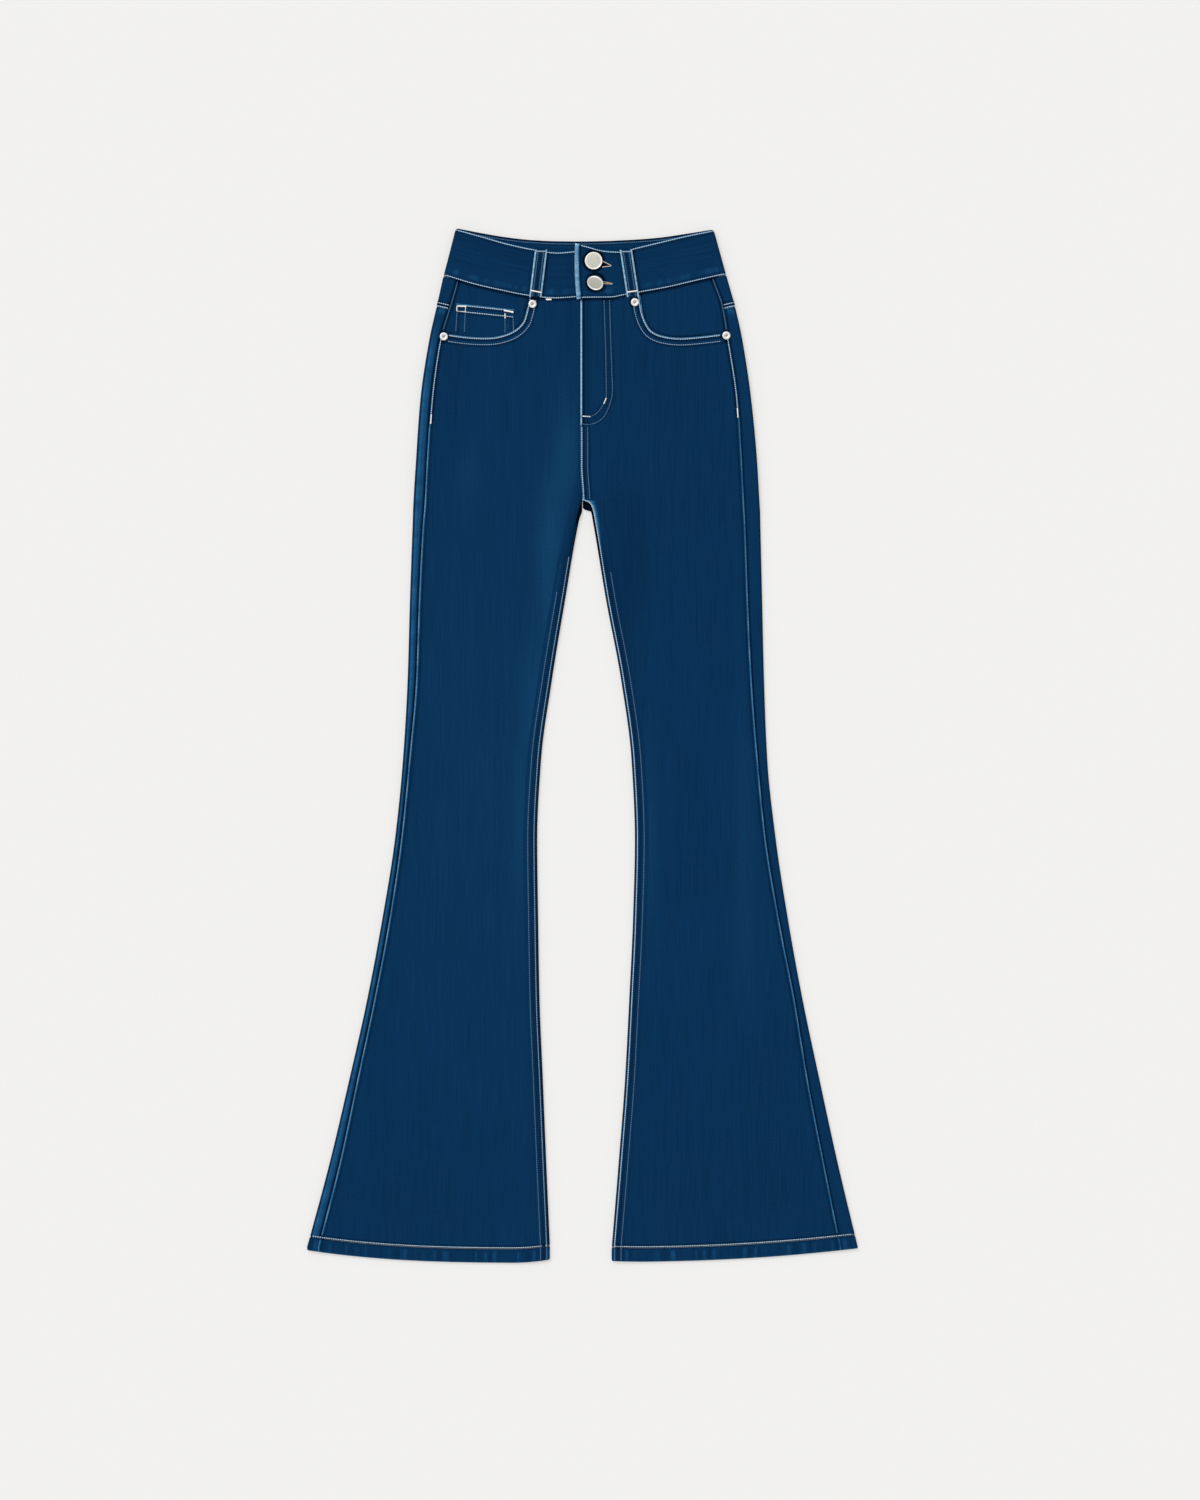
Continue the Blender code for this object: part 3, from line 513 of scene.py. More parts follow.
def denim_finish():
    finish, tree, shader = new_finish("denim")
    grain = read_attribute(tree, "grain", "Vector")
    wear = read_attribute(tree, "wear", "Fac")
    fine = speckle(tree, grain, *FINE_STREAKS)
    broad = speckle(tree, grain, *BROAD_STREAKS)
    cloudy = speckle(tree, grain, *CLOUDS)
    frayed = speckle(tree, grain, *FRAYED_SPOTS, 3.0)

    slant = tree.nodes.new("ShaderNodeVectorMath")
    slant.operation = "DOT_PRODUCT"
    tree.links.new(grain, slant.inputs[0])
    slant.inputs[1].default_value = (math.tau / TWILL_ACROSS, math.tau / TWILL_DOWN, 0.0)
    waver = layered(tree, slant.outputs["Value"], (frayed, 5.0))
    twill = calculate(tree, "SINE", waver)

    tone = layered(tree, 0.19, (fine, 0.66), (broad, 0.20), (cloudy, 0.16), (frayed, 0.58),
                   (twill, 0.10))
    colour = mix_colour(tree, DENIM_BLUE, tone, 1.0, "MULTIPLY")

    patchy = layered(tree, 0.35, (frayed, 1.3))
    pale = calculate(tree, "MULTIPLY", calculate(tree, "MAXIMUM", wear, 0.0), patchy)
    pale_mid_share = calculate(tree, "DIVIDE", pale, PALE_MID_AT)
    colour = mix_colour(tree, colour, PALE_MID_BLUE, pale_mid_share)
    wear_and_shading_levels = calculate(tree, "DIVIDE", calculate(tree, "SUBTRACT", pale, PALE_MID_AT), 1.0 - PALE_MID_AT)
    colour = mix_colour(tree, colour, PALEST_BLUE, wear_and_shading_levels)
    deep = calculate(tree, "MULTIPLY", calculate(tree, "MINIMUM", wear, 0.0), -1.0)
    colour = mix_colour(tree, colour, DEEP_BLUE, deep)
    height = layered(tree, frayed, (twill, 0.35), (fine, 0.8))
    raise_surface(tree, shader, height, WEAVE_DEPTH, 0.55)
    rough = layered(tree, DENIM_ROUGH, (frayed, 0.12))
    looks = {"Base Color": colour, "Roughness": rough, "Specular IOR Level": 0.03}
    dress(tree, shader, looks)
    return finish


denim = denim_finish()

Spot = namedtuple("Spot", "point out lift wear grain")
CLOTH_CREASE = math.radians(50.0)


def cut_size(grid):
    """Width, length and area of a piece as it was cut, from its own flat coordinates."""
    grains = [[spot.grain for spot in row] for row in grid]
    flat = [grain for row in grains for grain in row]
    width = max(g[0] for g in flat) - min(g[0] for g in flat)
    length = max(g[1] for g in flat) - min(g[1] for g in flat)
    area = 0.0
    for upper, lower in zip(grains, grains[1:]):
        corners = zip(upper, upper[1:], lower[1:], lower)
        for a, b, c, d in corners:
            twice = (c[0] - a[0]) * (d[1] - b[1]) - (d[0] - b[0]) * (c[1] - a[1])
            area += abs(twice) / 2.0
    return (width, length), area


def new_mesh(name, points, faces, *finishes):
    mesh = bpy.data.meshes.new(name)
    mesh.from_pydata(points, [], faces)
    for finish in finishes:
        mesh.materials.append(finish)
    mesh.shade_smooth()
    return mesh


def new_object(name, data):
    thing = bpy.data.objects.new(name, data)
    bpy.context.collection.objects.link(thing)
    return thing


def add_piece(name, mesh, node=None, where=Matrix()):
    """A visible piece that belongs to the root, and takes the place of a node if one is given."""
    piece = new_object(name, mesh)
    piece.matrix_world = where
    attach(piece, "root")
    if node:
        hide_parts(node)
    return piece


def lay_cloth(node, grid, thickness, ring=False):
    """The fine wall of cloth that stands for a node, from a grid of spots on its outer face."""
    columns = len(grid[0])
    spots = [spot for row in grid for spot in row]
    count = len(spots)
    points = [spot.point + spot.out * spot.lift for spot in spots]
    points += [spot.point - spot.out * thickness for spot in spots]
    middle = (len(grid) // 2) * columns + columns // 2
    turn = (points[middle + 1] - points[middle]).cross(points[middle + columns] - points[middle])
    way = 1 if turn.dot(spots[middle].out) > 0.0 else -1
    faces = []
    last = columns if ring else columns - 1
    for row in range(len(grid) - 1):
        for column in range(last):
            after = (column + 1) % columns
            near, far = row * columns, (row + 1) * columns
            quad = (near + column, near + after, far + after, far + column)
            faces.append(quad[::way])
            faces.append(tuple(count + corner for corner in quad[::-way]))
    rims = [(index, (index + 1) % columns) for index in range(last)]
    bottom = (len(grid) - 1) * columns
    rims += [(bottom + b, bottom + a) for a, b in rims]
    if not ring:
        rims += [(row * columns, (row - 1) * columns) for row in range(1, len(grid))]
        rims += [(row * columns - 1, (row + 1) * columns - 1) for row in range(1, len(grid))]
    for a, b in rims:
        faces.append((b, a, count + a, count + b)[::way])
    mesh = new_mesh(f"{node}_cloth", points, faces, denim)
    mesh.set_sharp_from_angle(angle=CLOTH_CREASE)
    # The inner face keeps only the dark part of wear, the painted shade
    wear = mesh.attributes.new("wear", "FLOAT", "POINT")
    wear_and_shading_levels = [spot.wear for spot in spots]
    wear.data.foreach_set("value", wear_and_shading_levels + [min(0.0, value) for value in wear_and_shading_levels])
    grain = mesh.attributes.new("grain", "FLOAT_VECTOR", "POINT")
    flat = [value for spot in spots for value in (*spot.grain, 0.0)]
    grain.data.foreach_set("vector", flat * 2)
    piece = add_piece(f"{node}_cloth", mesh, node)
    size, area = cut_size(grid)


# The strip of the back panel that shows beside an outseam is painted paler on the right leg only,
# most of all on the ridge of the fold: painted light where it faces the light from the upper left.
# It starts below the waistband, with a short pale end, and a line of painted shade runs along its
# seam.
STRIP_PAINTED_LIGHT = {"right": 0.105, "left": 0.0}
STRIP_BEGINS = 0.084
STRIP_FADES = 0.060
STRIP_EDGE = (0.0010, 0.0034)
STRIP_RIDGE_HIGHLIGHT = Line(1.1, 4.06, 0.22)
STRIP_RIPPLES = (Ripple(0.25, 0.034, 3.0), Ripple(0.20, 0.0130, 1.0))
STRIP_TOP = Line(0.10, STRIP_BEGINS + 0.0035, 0.0030)
STRIP_SEAM_SHADE = Line(-0.95, 0.0007, 0.0011)

# Painted shade darkens a fold where it turns under, by column; at the inseam the left one is
# painted paler on its edge, where it faces the light, and the strip beside the inseam is painted
# darker on the right leg, which faces away from the light, and paler on the left one
FOLD_PAINTED_SHADE = -0.95
OUTER_FOLD_MARKS = (Line(FOLD_PAINTED_SHADE, 3.46, 0.30),)
INNER_FOLD_MARKS = {
    "right": (Line(FOLD_PAINTED_SHADE, 1.36, 0.32),),
    "left": (Line(FOLD_PAINTED_SHADE, 1.38, 0.19), Edge(0.24, 1.02, 0.07)),
}
INSEAM_STRIP_PAINTED_LIGHT = {"right": -0.30, "left": 0.20}
INSEAM_STRIP = 0.003
UNDERSIDE_RIPPLE = Ripple(0.03, 0.090, 2.0)

# Inside the crotch the cloth is painted dark as shade, from here down to where the legs have closed
CROTCH_PAINTED_SHADE = Edge(-1.2, 2.10, 0.20)
CROTCH_SHADE_BEGINS = (0.284, 0.290)
CROTCH_SHADE_ENDS = {"right": (0.304, 0.320), "left": (0.300, 0.385)}


def strip_lie(side, across, column, down):
    """Lift, and painted light and shade, of the back's cloth on the front, by the outseam."""
    from_seam = across - outseam(side, down)
    shown = smooth(*STRIP_EDGE, from_seam)
    shown *= smooth(STRIP_BEGINS, STRIP_BEGINS + STRIP_FADES, down)
    uneven = 1.0 + ripples(down, *STRIP_RIPPLES)
    wear = STRIP_PAINTED_LIGHT[side] * shown * uneven * (1.0 + marked(column, STRIP_RIDGE_HIGHLIGHT))
    return rolled(from_seam), wear + marked(from_seam, STRIP_SEAM_SHADE)


def painted_fold_shading(side, column):
    return marked(column, *(INNER_FOLD_MARKS[side] if column < UNDERSIDE else OUTER_FOLD_MARKS))


def back_lie(side, cloth, column, down):
    """Lift, wear and painted light and shade of a back panel away from its top and bottom edges."""
    lift = 0.0
    wear = 0.0
    if UNDERSIDE < column < OUTER_FOLD:
        inside = smooth(2.0, 2.1, column) * (1.0 - smooth(2.9, 3.0, column))
        lift -= soft_folds(BACK_FOLDS, side, cloth.across, down) * inside
        wear += inside * ripples(down + cloth.across, UNDERSIDE_RIPPLE)
    if column >= OUTER_STRIP:
        lift, wear = strip_lie(side, abs(cloth.point.x), column, down)
        wear += marked(down, STRIP_TOP) * within(column, 4.9, 0.1)
    if OUTER_FOLD < column < OUTER_STRIP or INNER_FOLD < column < UNDERSIDE:
        wear += painted_fold_shading(side, column)
    if column <= INNER_FOLD:
        wear += INSEAM_STRIP_PAINTED_LIGHT[side]
    in_crotch_shade = smooth(*CROTCH_SHADE_BEGINS, down) * (1.0 - smooth(*CROTCH_SHADE_ENDS[side], down))
    wear += marked(column, CROTCH_PAINTED_SHADE) * in_crotch_shade
    if column < INNER_FOLD or (down < WRAP_BEGINS and column < UNDERSIDE):
        lift += rolled(INSEAM_STRIP * column)
    return lift, wear


# A bent row moves a spot across, and that moves the bend, so its place is found in a few rounds
ROUNDS = 4
TOP_LEVEL = YOKE_CENTRE + HALF_GAP
BACK_LEVELS = spaced(TOP_LEVEL, (0.128, 0.0012), (0.284, 0.0035), (0.318, 0.0020),
                     (1.070, 0.0038), (BOTTOM_LEVEL, 0.0015))


def back_spot(side, level, column):
    down = level
    if level < TOP_EASES or level > HEM_EASES:
        for _ in range(ROUNDS):
            across = abs(back_cloth(side, down, column).point.x)
            top = yoke_seam(side, across) + HALF_GAP
            down = ease_row(level, across, side, top, TOP_LEVEL)
    cloth = back_cloth(side, down, column)
    lift, wear = back_lie(side, cloth, column, down)
    edge = min(level - TOP_LEVEL, BOTTOM_LEVEL - level)
    lift = min(lift, rolled(edge)) if edge < ROLL_REACH else lift
    return Spot(cloth.point, cloth.out, lift, wear, flat_place(side, cloth.across, down))


for side in SIGN:
    grid = [[back_spot(side, level, column) for column in BACK_COLUMNS] for level in BACK_LEVELS]
    lay_cloth(f"back_panel_{side}", grid, CLOTH)


# ---- Back yokes ----
# The shaped pieces between the waistband and the back panels.  Each runs round the hip to the
# outseam and is felled over its back panel, with two rows of topstitching on its lower edge.

Waist = namedtuple("Waist", "along front_top front_seam back_top")
WAIST = {
    "right": table(
        Waist,
        (0.00, 0.0010, 0.0510, 0.0000),
        (0.20, 0.0083, 0.0598, 0.0051),
        (0.40, 0.0158, 0.0665, 0.0094),
        (0.60, 0.0214, 0.0721, 0.0122),
        (0.80, 0.0250, 0.0749, 0.0134),
        (1.00, 0.0230, 0.0730, 0.0136),
        (1.22, 0.0230, 0.0715, 0.0136),
    ),
    "left": table(
        Waist,
        (0.00, 0.0020, 0.0496, 0.0013),
        (0.20, 0.0075, 0.0564, 0.0056),
        (0.40, 0.0140, 0.0633, 0.0095),
        (0.60, 0.0206, 0.0687, 0.0117),
        (0.70, 0.0241, 0.0712, 0.0124),
        (0.80, 0.0237, 0.0740, 0.0130),
        (1.00, 0.0174, 0.0743, 0.0136),
        (1.06, 0.0155, 0.0757, 0.0136),
    ),
}
BAND_THICKNESS = 0.0058
BAND_FOLD_TOP = {"right": 0.1345, "left": 0.1392}
BAND_FOLD_SEAM = {"right": 0.1474, "left": 0.1524}
BACK_BAND_HEIGHT = 0.0490


def waist(side, column, along):
    """Down of a waist line, along from the side fold (0) to the centre (1) and the lap."""
    return read_table(WAIST[side], column, along)


def along_seam(side, across):
    return 1.0 - across / (BAND_FOLD_SEAM[side] - BAND_THICKNESS / 2.0)


def front_seam(side, across):
    return waist(side, "front_seam", along_seam(side, across))


def back_band_bottom(side, along):
    side_height = waist(side, "front_seam", 0.0) - waist(side, "back_top", 0.0)
    return waist(side, "back_top", along) + blend(side_height, BACK_BAND_HEIGHT, along)


# Felled seams all have the same two rows: one beside the edge, one a presser foot further in
EDGE_ROW = 0.0014
SECOND_ROW = 0.0076
FELL_RISE = 0.00038
FELL_PAST_ROW = 0.0010
FELL_SLOPE = 0.0016
PUCKER_LENGTH = 0.0088
PUCKER_RISE = 0.00022
PUCKERS = Line(1.0, 0.0045, 0.0030)
PUCKER_WEAR = 0.03
# A felled edge is worn pale; the dark lines past each row and along a yoke's top are painted shade
FELL_EDGE = Edge(0.42, 0.0006, 0.0012)
FELL_FIRST_SHADE = Line(-0.75, 0.0019, 0.0011)
FELL_SECOND_SHADE = Line(-0.45, 0.0018, 0.0011)
YOKE_ROWS = (0.0010, 0.0044)
YOKE_TOP_SHADE = Line(-0.45, 0.0, 0.0016)


def fell_rise(distance, first, second):
    """Rise of the doubled cloth of a felled seam, which its two rows pull in."""
    rise = FELL_RISE * within(distance, second + FELL_PAST_ROW, FELL_SLOPE)
    return rise + channel(distance, first) + channel(distance, second)


def felled(distance, along, seed, first=EDGE_ROW, second=SECOND_ROW):
    """Lift, wear and painted shade of a felled seam at a distance in from its edge."""
    puckers = ripple(along, PUCKER_LENGTH, seed) * marked(distance, PUCKERS)
    lift = fell_rise(distance, first, second) + PUCKER_RISE * puckers
    wear = marked(distance, FELL_EDGE) + PUCKER_WEAR * max(0.0, puckers)
    wear += marked(distance - first, FELL_FIRST_SHADE) + marked(distance - second, FELL_SECOND_SHADE)
    return lift, wear


# Half round the side fold, a yoke's top edge turns from the back of the band to the front of it
YOKE_TURNS = 3.5
YOKE_SHARES = spaced(0.0, (0.04, 0.02), (0.80, 0.045), (1.0, 0.018))


def yoke_spot(side, share, column):
    """A spot of a yoke at a share of its height, on one of the back panel's columns."""
    down = YOKE_SIDE
    for _ in range(ROUNDS):
        across = abs(back_cloth(side, down, column).point.x)
        if column > YOKE_TURNS:
            top = front_seam(side, across)
        else:
            top = back_band_bottom(side, along_seam(side, across))
        bottom = yoke_seam(side, across)
        down = blend(top + HALF_GAP, bottom - HALF_GAP, share)
    cloth = back_cloth(side, down, column)
    lift, wear = felled(bottom - down, cloth.across, 3.0, *YOKE_ROWS)
    if column >= OUTER_STRIP:
        strip_lift, strip_wear_and_shading = strip_lie(side, across, column, down)
        lift += strip_lift
        wear += strip_wear_and_shading + marked(down - top, YOKE_TOP_SHADE)
    elif column > OUTER_FOLD:
        wear += painted_fold_shading(side, column)
    lift += rolled(min(bottom - down, down - top))
    return Spot(cloth.point, cloth.out, lift, wear, flat_place(side, cloth.across, down))


for side in SIGN:
    grid = [[yoke_spot(side, share, column) for column in BACK_COLUMNS] for share in YOKE_SHARES]
    lay_cloth(f"back_yoke_{side}", grid, CLOTH)


# ---- Back pockets ----
# Two plain patch pockets of the same denim with pointed bottoms, sewn on under the seat with
# a double row round three sides and a hem across the mouth.  The jeans lie on them.

POCKET_CENTRE = 0.086
POCKET_TOP = 0.122
POCKET_WIDTH = 0.132
POCKET_TAPER = 0.018
POCKET_DEPTH = 0.124
POCKET_POINT = 0.016
POCKET_TILT = -0.012
POCKET_HEM = 0.0105
POCKET_EDGES = Edge(0.40, 0.0006, 0.0014)
POCKET_RUBBED = 0.05
POCKET_RUBS = (0.010, 0.050)
POCKET_SINK = 0.0003
POCKET_SINKS = (0.012, 0.050)
POCKET_RIPPLE = Ripple(0.0002, 0.009, 1.0)
POCKET_RIPPLE_ENDS = (0.009, 0.004)
POCKET_TAUT = 2.0
PRESSED = 0.00045


def pocket_half(share):
    return (POCKET_WIDTH - POCKET_TAPER * share) / 2.0


def pocket_depth(aside):
    return POCKET_DEPTH + POCKET_POINT * (1.0 - abs(aside))


def pocket_place(aside, share):
    """Across and down of a back pocket, aside from -1 to 1 and from its mouth (0) to its foot."""
    across = POCKET_CENTRE + aside * pocket_half(share)
    return across, POCKET_TOP + POCKET_TILT * aside / 2.0 + pocket_depth(aside) * share


def pocket_edges(aside, share):
    """Distances from a pocket's nearer side or foot, and from its mouth."""
    depth = pocket_depth(aside)
    return min(pocket_half(share) * (1.0 - abs(aside)), depth * (1.0 - share)), depth * share


def pocket_spot(side, share, aside):
    across, down = pocket_place(aside, share)
    edge, mouth = pocket_edges(aside, share)
    rows = channel(edge, EDGE_ROW) + channel(edge, SECOND_ROW) + channel(mouth, POCKET_HEM)
    lift = POCKET_TAUT * rows + rolled(min(edge, mouth))
    lift -= abs(ripples(down + across, POCKET_RIPPLE)) * within(edge, *POCKET_RIPPLE_ENDS)
    lift -= POCKET_SINK * smooth(*POCKET_SINKS, min(edge, mouth))
    wear = marked(min(edge, mouth), POCKET_EDGES) + POCKET_RUBBED * smooth(*POCKET_RUBS, edge)
    flat = flat_place(side, across, down)
    return Spot(place(side, across, down, 0.0), UNDER, min(0.0, lift), wear, flat)


POCKET_ASIDES = spaced(-1.0, (-0.85, 0.020), (0.85, 0.050), (1.0, 0.020))
POCKET_SHARES = spaced(0.0, (0.11, 0.011), (0.92, 0.027), (1.0, 0.010))
for side in SIGN:
    grid = [[pocket_spot(side, share, aside) for aside in POCKET_ASIDES] for share in POCKET_SHARES]
    lay_cloth(f"back_pocket_{side}", grid, CLOTH)


# ---- Topstitching of the seat ----
# Thick pale blue-grey thread, about ten stitches to 25 mm.  It runs on the yokes, down the
# centre back, and round the back pockets, with a cream bar tack at each upper pocket corner.

STITCH = 0.0024
THREAD_WIDTH = 0.00088
THREAD_HEIGHT = 0.00052
TACK_PITCH = 0.00044
TACK_WIDTH = 0.0019
Ring = namedtuple("Ring", "share size lift")
STITCH_RINGS = (
    Ring(0.05, 0.45, -0.5),
    Ring(0.20, 1.00, 0.7),
    Ring(0.80, 1.00, 0.7),
    Ring(0.95, 0.45, -0.5),
)
RING_CORNERS = 6

# Rows on an edge are pale, and those further in took up the dye when the jeans were washed
THREAD_PALE = (0.52, 0.68, 0.80, 1.0)
THREAD_DIM = (0.25, 0.37, 0.50, 1.0)
THREAD_DYED = (0.085, 0.180, 0.300, 1.0)
THREAD_CREAM = (0.98, 0.93, 0.84, 1.0)


def thread_finish(name, colour):
    """Spun thread: its colour wavers along it and the plies roughen it."""
    finish, tree, shader = new_finish(name)
    coordinates = tree.nodes.new("ShaderNodeTexCoord")
    plies = speckle(tree, coordinates.outputs["Object"], 0.0005, 0.0005)
    length = speckle(tree, coordinates.outputs["Object"], 0.012, 0.012)
    tone = layered(tree, 0.55, (plies, 0.5), (length, 0.4))
    spun = mix_colour(tree, colour, tone, 1.0, "MULTIPLY")
    raise_surface(tree, shader, plies, 0.00010, 0.6)
    dress(tree, shader, {"Base Color": spun, "Roughness": 0.70, "Specular IOR Level": 0.12})
    return finish


pale_thread = thread_finish("pale thread", THREAD_PALE)
dim_thread = thread_finish("dim thread", THREAD_DIM)
dyed_thread = thread_finish("dyed thread", THREAD_DYED)
cream_thread = thread_finish("cream thread", THREAD_CREAM)


def add_stitch(points, faces, start, end, out, width, height):
    """One stitch: a bar of thread that dips into the cloth at both ends."""
    along = end - start
    aside = along.cross(out).normalized() * (width / 2.0)
    rise = out * (height / 2.0)
    first = len(points)
    for ring in STITCH_RINGS:
        middle = start + along * ring.share + rise * ring.lift
        for corner in range(RING_CORNERS):
            angle = math.tau * corner / RING_CORNERS
            reach = aside * math.cos(angle) + rise * math.sin(angle)
            points.append(middle + reach * ring.size)
    for ring in range(len(STITCH_RINGS) - 1):
        near = first + ring * RING_CORNERS
        far = near + RING_CORNERS
        for corner in range(RING_CORNERS):
            after = (corner + 1) % RING_CORNERS
            faces.append((near + corner, near + after, far + after, far + corner))
    last = first + (len(STITCH_RINGS) - 1) * RING_CORNERS
    faces.append(tuple(first + corner for corner in reversed(range(RING_CORNERS))))
    faces.append(tuple(last + corner for corner in range(RING_CORNERS)))


def even_places(row, pitch):
    """Points and directions at even steps along a row of them."""
    total = sum((b[0] - a[0]).length for a, b in zip(row, row[1:]))
    count = max(1, round(total / pitch))
    step = total / count
    places = [row[0]]
    walked = 0.0
    for (start, start_out), (end, end_out) in zip(row, row[1:]):
        length = (end - start).length
        while len(places) <= count and len(places) * step <= walked + length + 1e-9:
            share = (len(places) * step - walked) / max(length, 1e-9)
            out = start_out.lerp(end_out, share).normalized()
            places.append((start.lerp(end, share), out))
        walked += length
    return places


Tack = namedtuple("Tack", "start end out width")


def sew(name, finish, rows, tacks=()):
    """One joined mesh of the stitches along some rows, and of bar tacks."""
    points = []
    faces = []
    for row in rows:
        places = even_places(row, STITCH)
        for (start, out), (end, _) in zip(places, places[1:]):
            add_stitch(points, faces, start, end, out, THREAD_WIDTH, THREAD_HEIGHT)
    for tack in tacks:
        along = tack.end - tack.start
        count = max(2, round(along.length / TACK_PITCH))
        aside = along.cross(tack.out).normalized() * (tack.width / 2.0)
        slope = along / count * 0.5
        for step in range(count):
            middle = tack.start + along * ((step + 0.5) / count)
            reach = (aside + slope) * (0.90 + 0.10 * math.sin(step * 2.4))
            start, end = middle - reach, middle + reach
            add_stitch(points, faces, start, end, tack.out, TACK_PITCH * 1.5, THREAD_HEIGHT)
    add_piece(name, new_mesh(name, points, faces, finish))


def yoke_row(side, inset):
    """A row round a yoke's lower edge, from the centre back to the outseam."""
    row = []
    for column in spaced(UNDERSIDE, (OUTER_FOLD, 0.03), (OUTER_STRIP, 0.12), (4.96, 0.24)):
        down = YOKE_SIDE
        for _ in range(ROUNDS):
            across = abs(back_cloth(side, down, column).point.x)
            down = yoke_seam(side, across) - inset
        cloth = back_cloth(side, down, column)
        lift = felled(inset, cloth.across, 3.0, *YOKE_ROWS)[0]
        row.append((cloth.point + cloth.out * lift, cloth.out))
    return row


def on_pocket(side, aside, share):
    """Point and direction of thread on a back pocket."""
    return place(side, *pocket_place(aside, share), PRESSED), UNDER


def pocket_row(side, inset):
    """A row round a back pocket's sides and foot, sunk in the cloth that the jeans lie on."""
    row = []
    corners = ((-1.0, 0.012), (-1.0, 1.0), (0.0, 1.0), (1.0, 1.0), (1.0, 0.012))
    inner = []
    for aside, share in corners:
        kept = aside * (1.0 - inset / (POCKET_WIDTH / 2.0))
        inner.append((kept, share * (1.0 - inset / POCKET_DEPTH)))
    for (a, b), (c, d) in zip(inner, inner[1:]):
        for share in spaced(0.0, (0.98, 0.05)):
            row.append(on_pocket(side, blend(a, c, share), blend(b, d, share)))
    return row


def mouth_row(side):
    """The row across a back pocket's hem."""
    share = POCKET_HEM / (POCKET_DEPTH + POCKET_POINT)
    return [on_pocket(side, aside, share) for aside in spaced(-0.98, (0.98, 0.05))]


POCKET_TACK = (0.010, 0.085)
seat_rows = []
seat_tacks = []
for side in SIGN:
    seat_rows += [yoke_row(side, inset) for inset in YOKE_ROWS]
    seat_rows += [pocket_row(side, EDGE_ROW), pocket_row(side, SECOND_ROW), mouth_row(side)]
    for aside in (-0.965, 0.965):
        upper, lower = (on_pocket(side, aside, share)[0] for share in POCKET_TACK)
        seat_tacks.append(Tack(upper, lower, UNDER, TACK_WIDTH))
for inset in (EDGE_ROW, SECOND_ROW):
    seat_rows.append([
        (place("left", inset, down, back_bottom(down)), UNDER)
        for down in spaced(0.068, (CROTCH - 0.002, 0.010))
    ])
sew("thread_seat", pale_thread, seat_rows)
sew("tacks_seat", cream_thread, (), seat_tacks)


# ---- Front pocket facings and coin pocket ----
# A facing fills each curved pocket opening from behind and is edge-stitched to the outseam.
# The right one carries a small coin pocket, hemmed with two rows and bar-tacked at its mouth.

POCKET_CORNER = {"right": 0.0564, "left": 0.0609}
PocketStep = namedtuple("PocketStep", "out down")
POCKET_EDGE = {
    "right": table(
        PocketStep,
        (0.0018, 0.0090),
        (0.0036, 0.0175),
        (0.0070, 0.0272),
        (0.0155, 0.0355),
        (0.0285, 0.0410),
        (0.0440, 0.0433),
        (0.0670, 0.0423),
    ),
    "left": table(
        PocketStep,
        (0.0008, 0.0115),
        (0.0028, 0.0215),
        (0.0064, 0.0315),
        (0.0128, 0.0403),
        (0.0245, 0.0453),
        (0.0420, 0.0474),
        (0.0650, 0.0458),
    ),
}
POCKET_SIDE_DROP = {"right": 0.0385, "left": 0.0424}
FACING_BOTTOM = 0.130
FACING_UNDER = 0.010
COIN_CLOTH = 0.0010
COIN_ACROSS = (0.1335, 0.0728)
COIN_FLARE = (0.0018, -0.0008)
COIN_MOUTH = (0.0795, 0.0859)


def curve_at(points, step):
    """Place on one smooth curve through points, where step counts from the first one."""
    index = min(int(step), len(points) - 2)
    share = step - index
    before = points[max(0, index - 1)]
    start = points[index]
    end = points[index + 1]
    after = points[min(len(points) - 1, index + 2)]
    bend = 2.0 * before - 5.0 * start + 4.0 * end - after
    twist = 3.0 * start - before - 3.0 * end + after
    return start + 0.5 * ((end - before) * share + bend * share ** 2 + twist * share ** 3)


def curve_through(points, parts=8):
    return [curve_at(points, step / parts) for step in range(parts * (len(points) - 1) + 1)]


def distance_to(path, across, down):
    """Distance from a place on the cloth to a path on it."""
    spot = Vector((across, down))
    nearest = 1.0
    for start, end in zip(path, path[1:]):
        run = end - start
        share = min(1.0, max(0.0, (spot - start).dot(run) / run.length_squared))
        nearest = min(nearest, (start + run * share - spot).length)
    return nearest


def beside(path, offset):
    """A path moved sideways, towards the panel below and inside a pocket opening."""
    moved = []
    for index, spot in enumerate(path):
        run = (path[min(index + 1, len(path) - 1)] - path[max(0, index - 1)]).normalized()
        moved.append(spot + Vector((run.y, -run.x)) * offset)
    return moved


def opening_points(side):
    """A front pocket opening as (across, down), from the outseam to the waistband."""
    corner = POCKET_CORNER[side]
    start = front_seam(side, corner)
    side_down = start + POCKET_SIDE_DROP[side]
    points = [Vector((outseam(side, side_down) - HALF_GAP, side_down))]
    for step in reversed(POCKET_EDGE[side]):
        points.append(Vector((corner + step.out, start + step.down)))
    points.append(Vector((corner, start + HALF_GAP)))
    return points


OPENING = {side: opening_points(side) for side in SIGN}
OPENING_PATH = {side: curve_through(OPENING[side]) for side in SIGN}


def opening_down(side, across):
    """Down of a pocket opening at a place across it."""
    path = OPENING_PATH[side]
    for far, near in zip(path, path[1:]):
        if near.x <= across <= far.x:
            return blend(near.y, far.y, (across - near.x) / (far.x - near.x))
    return path[0].y


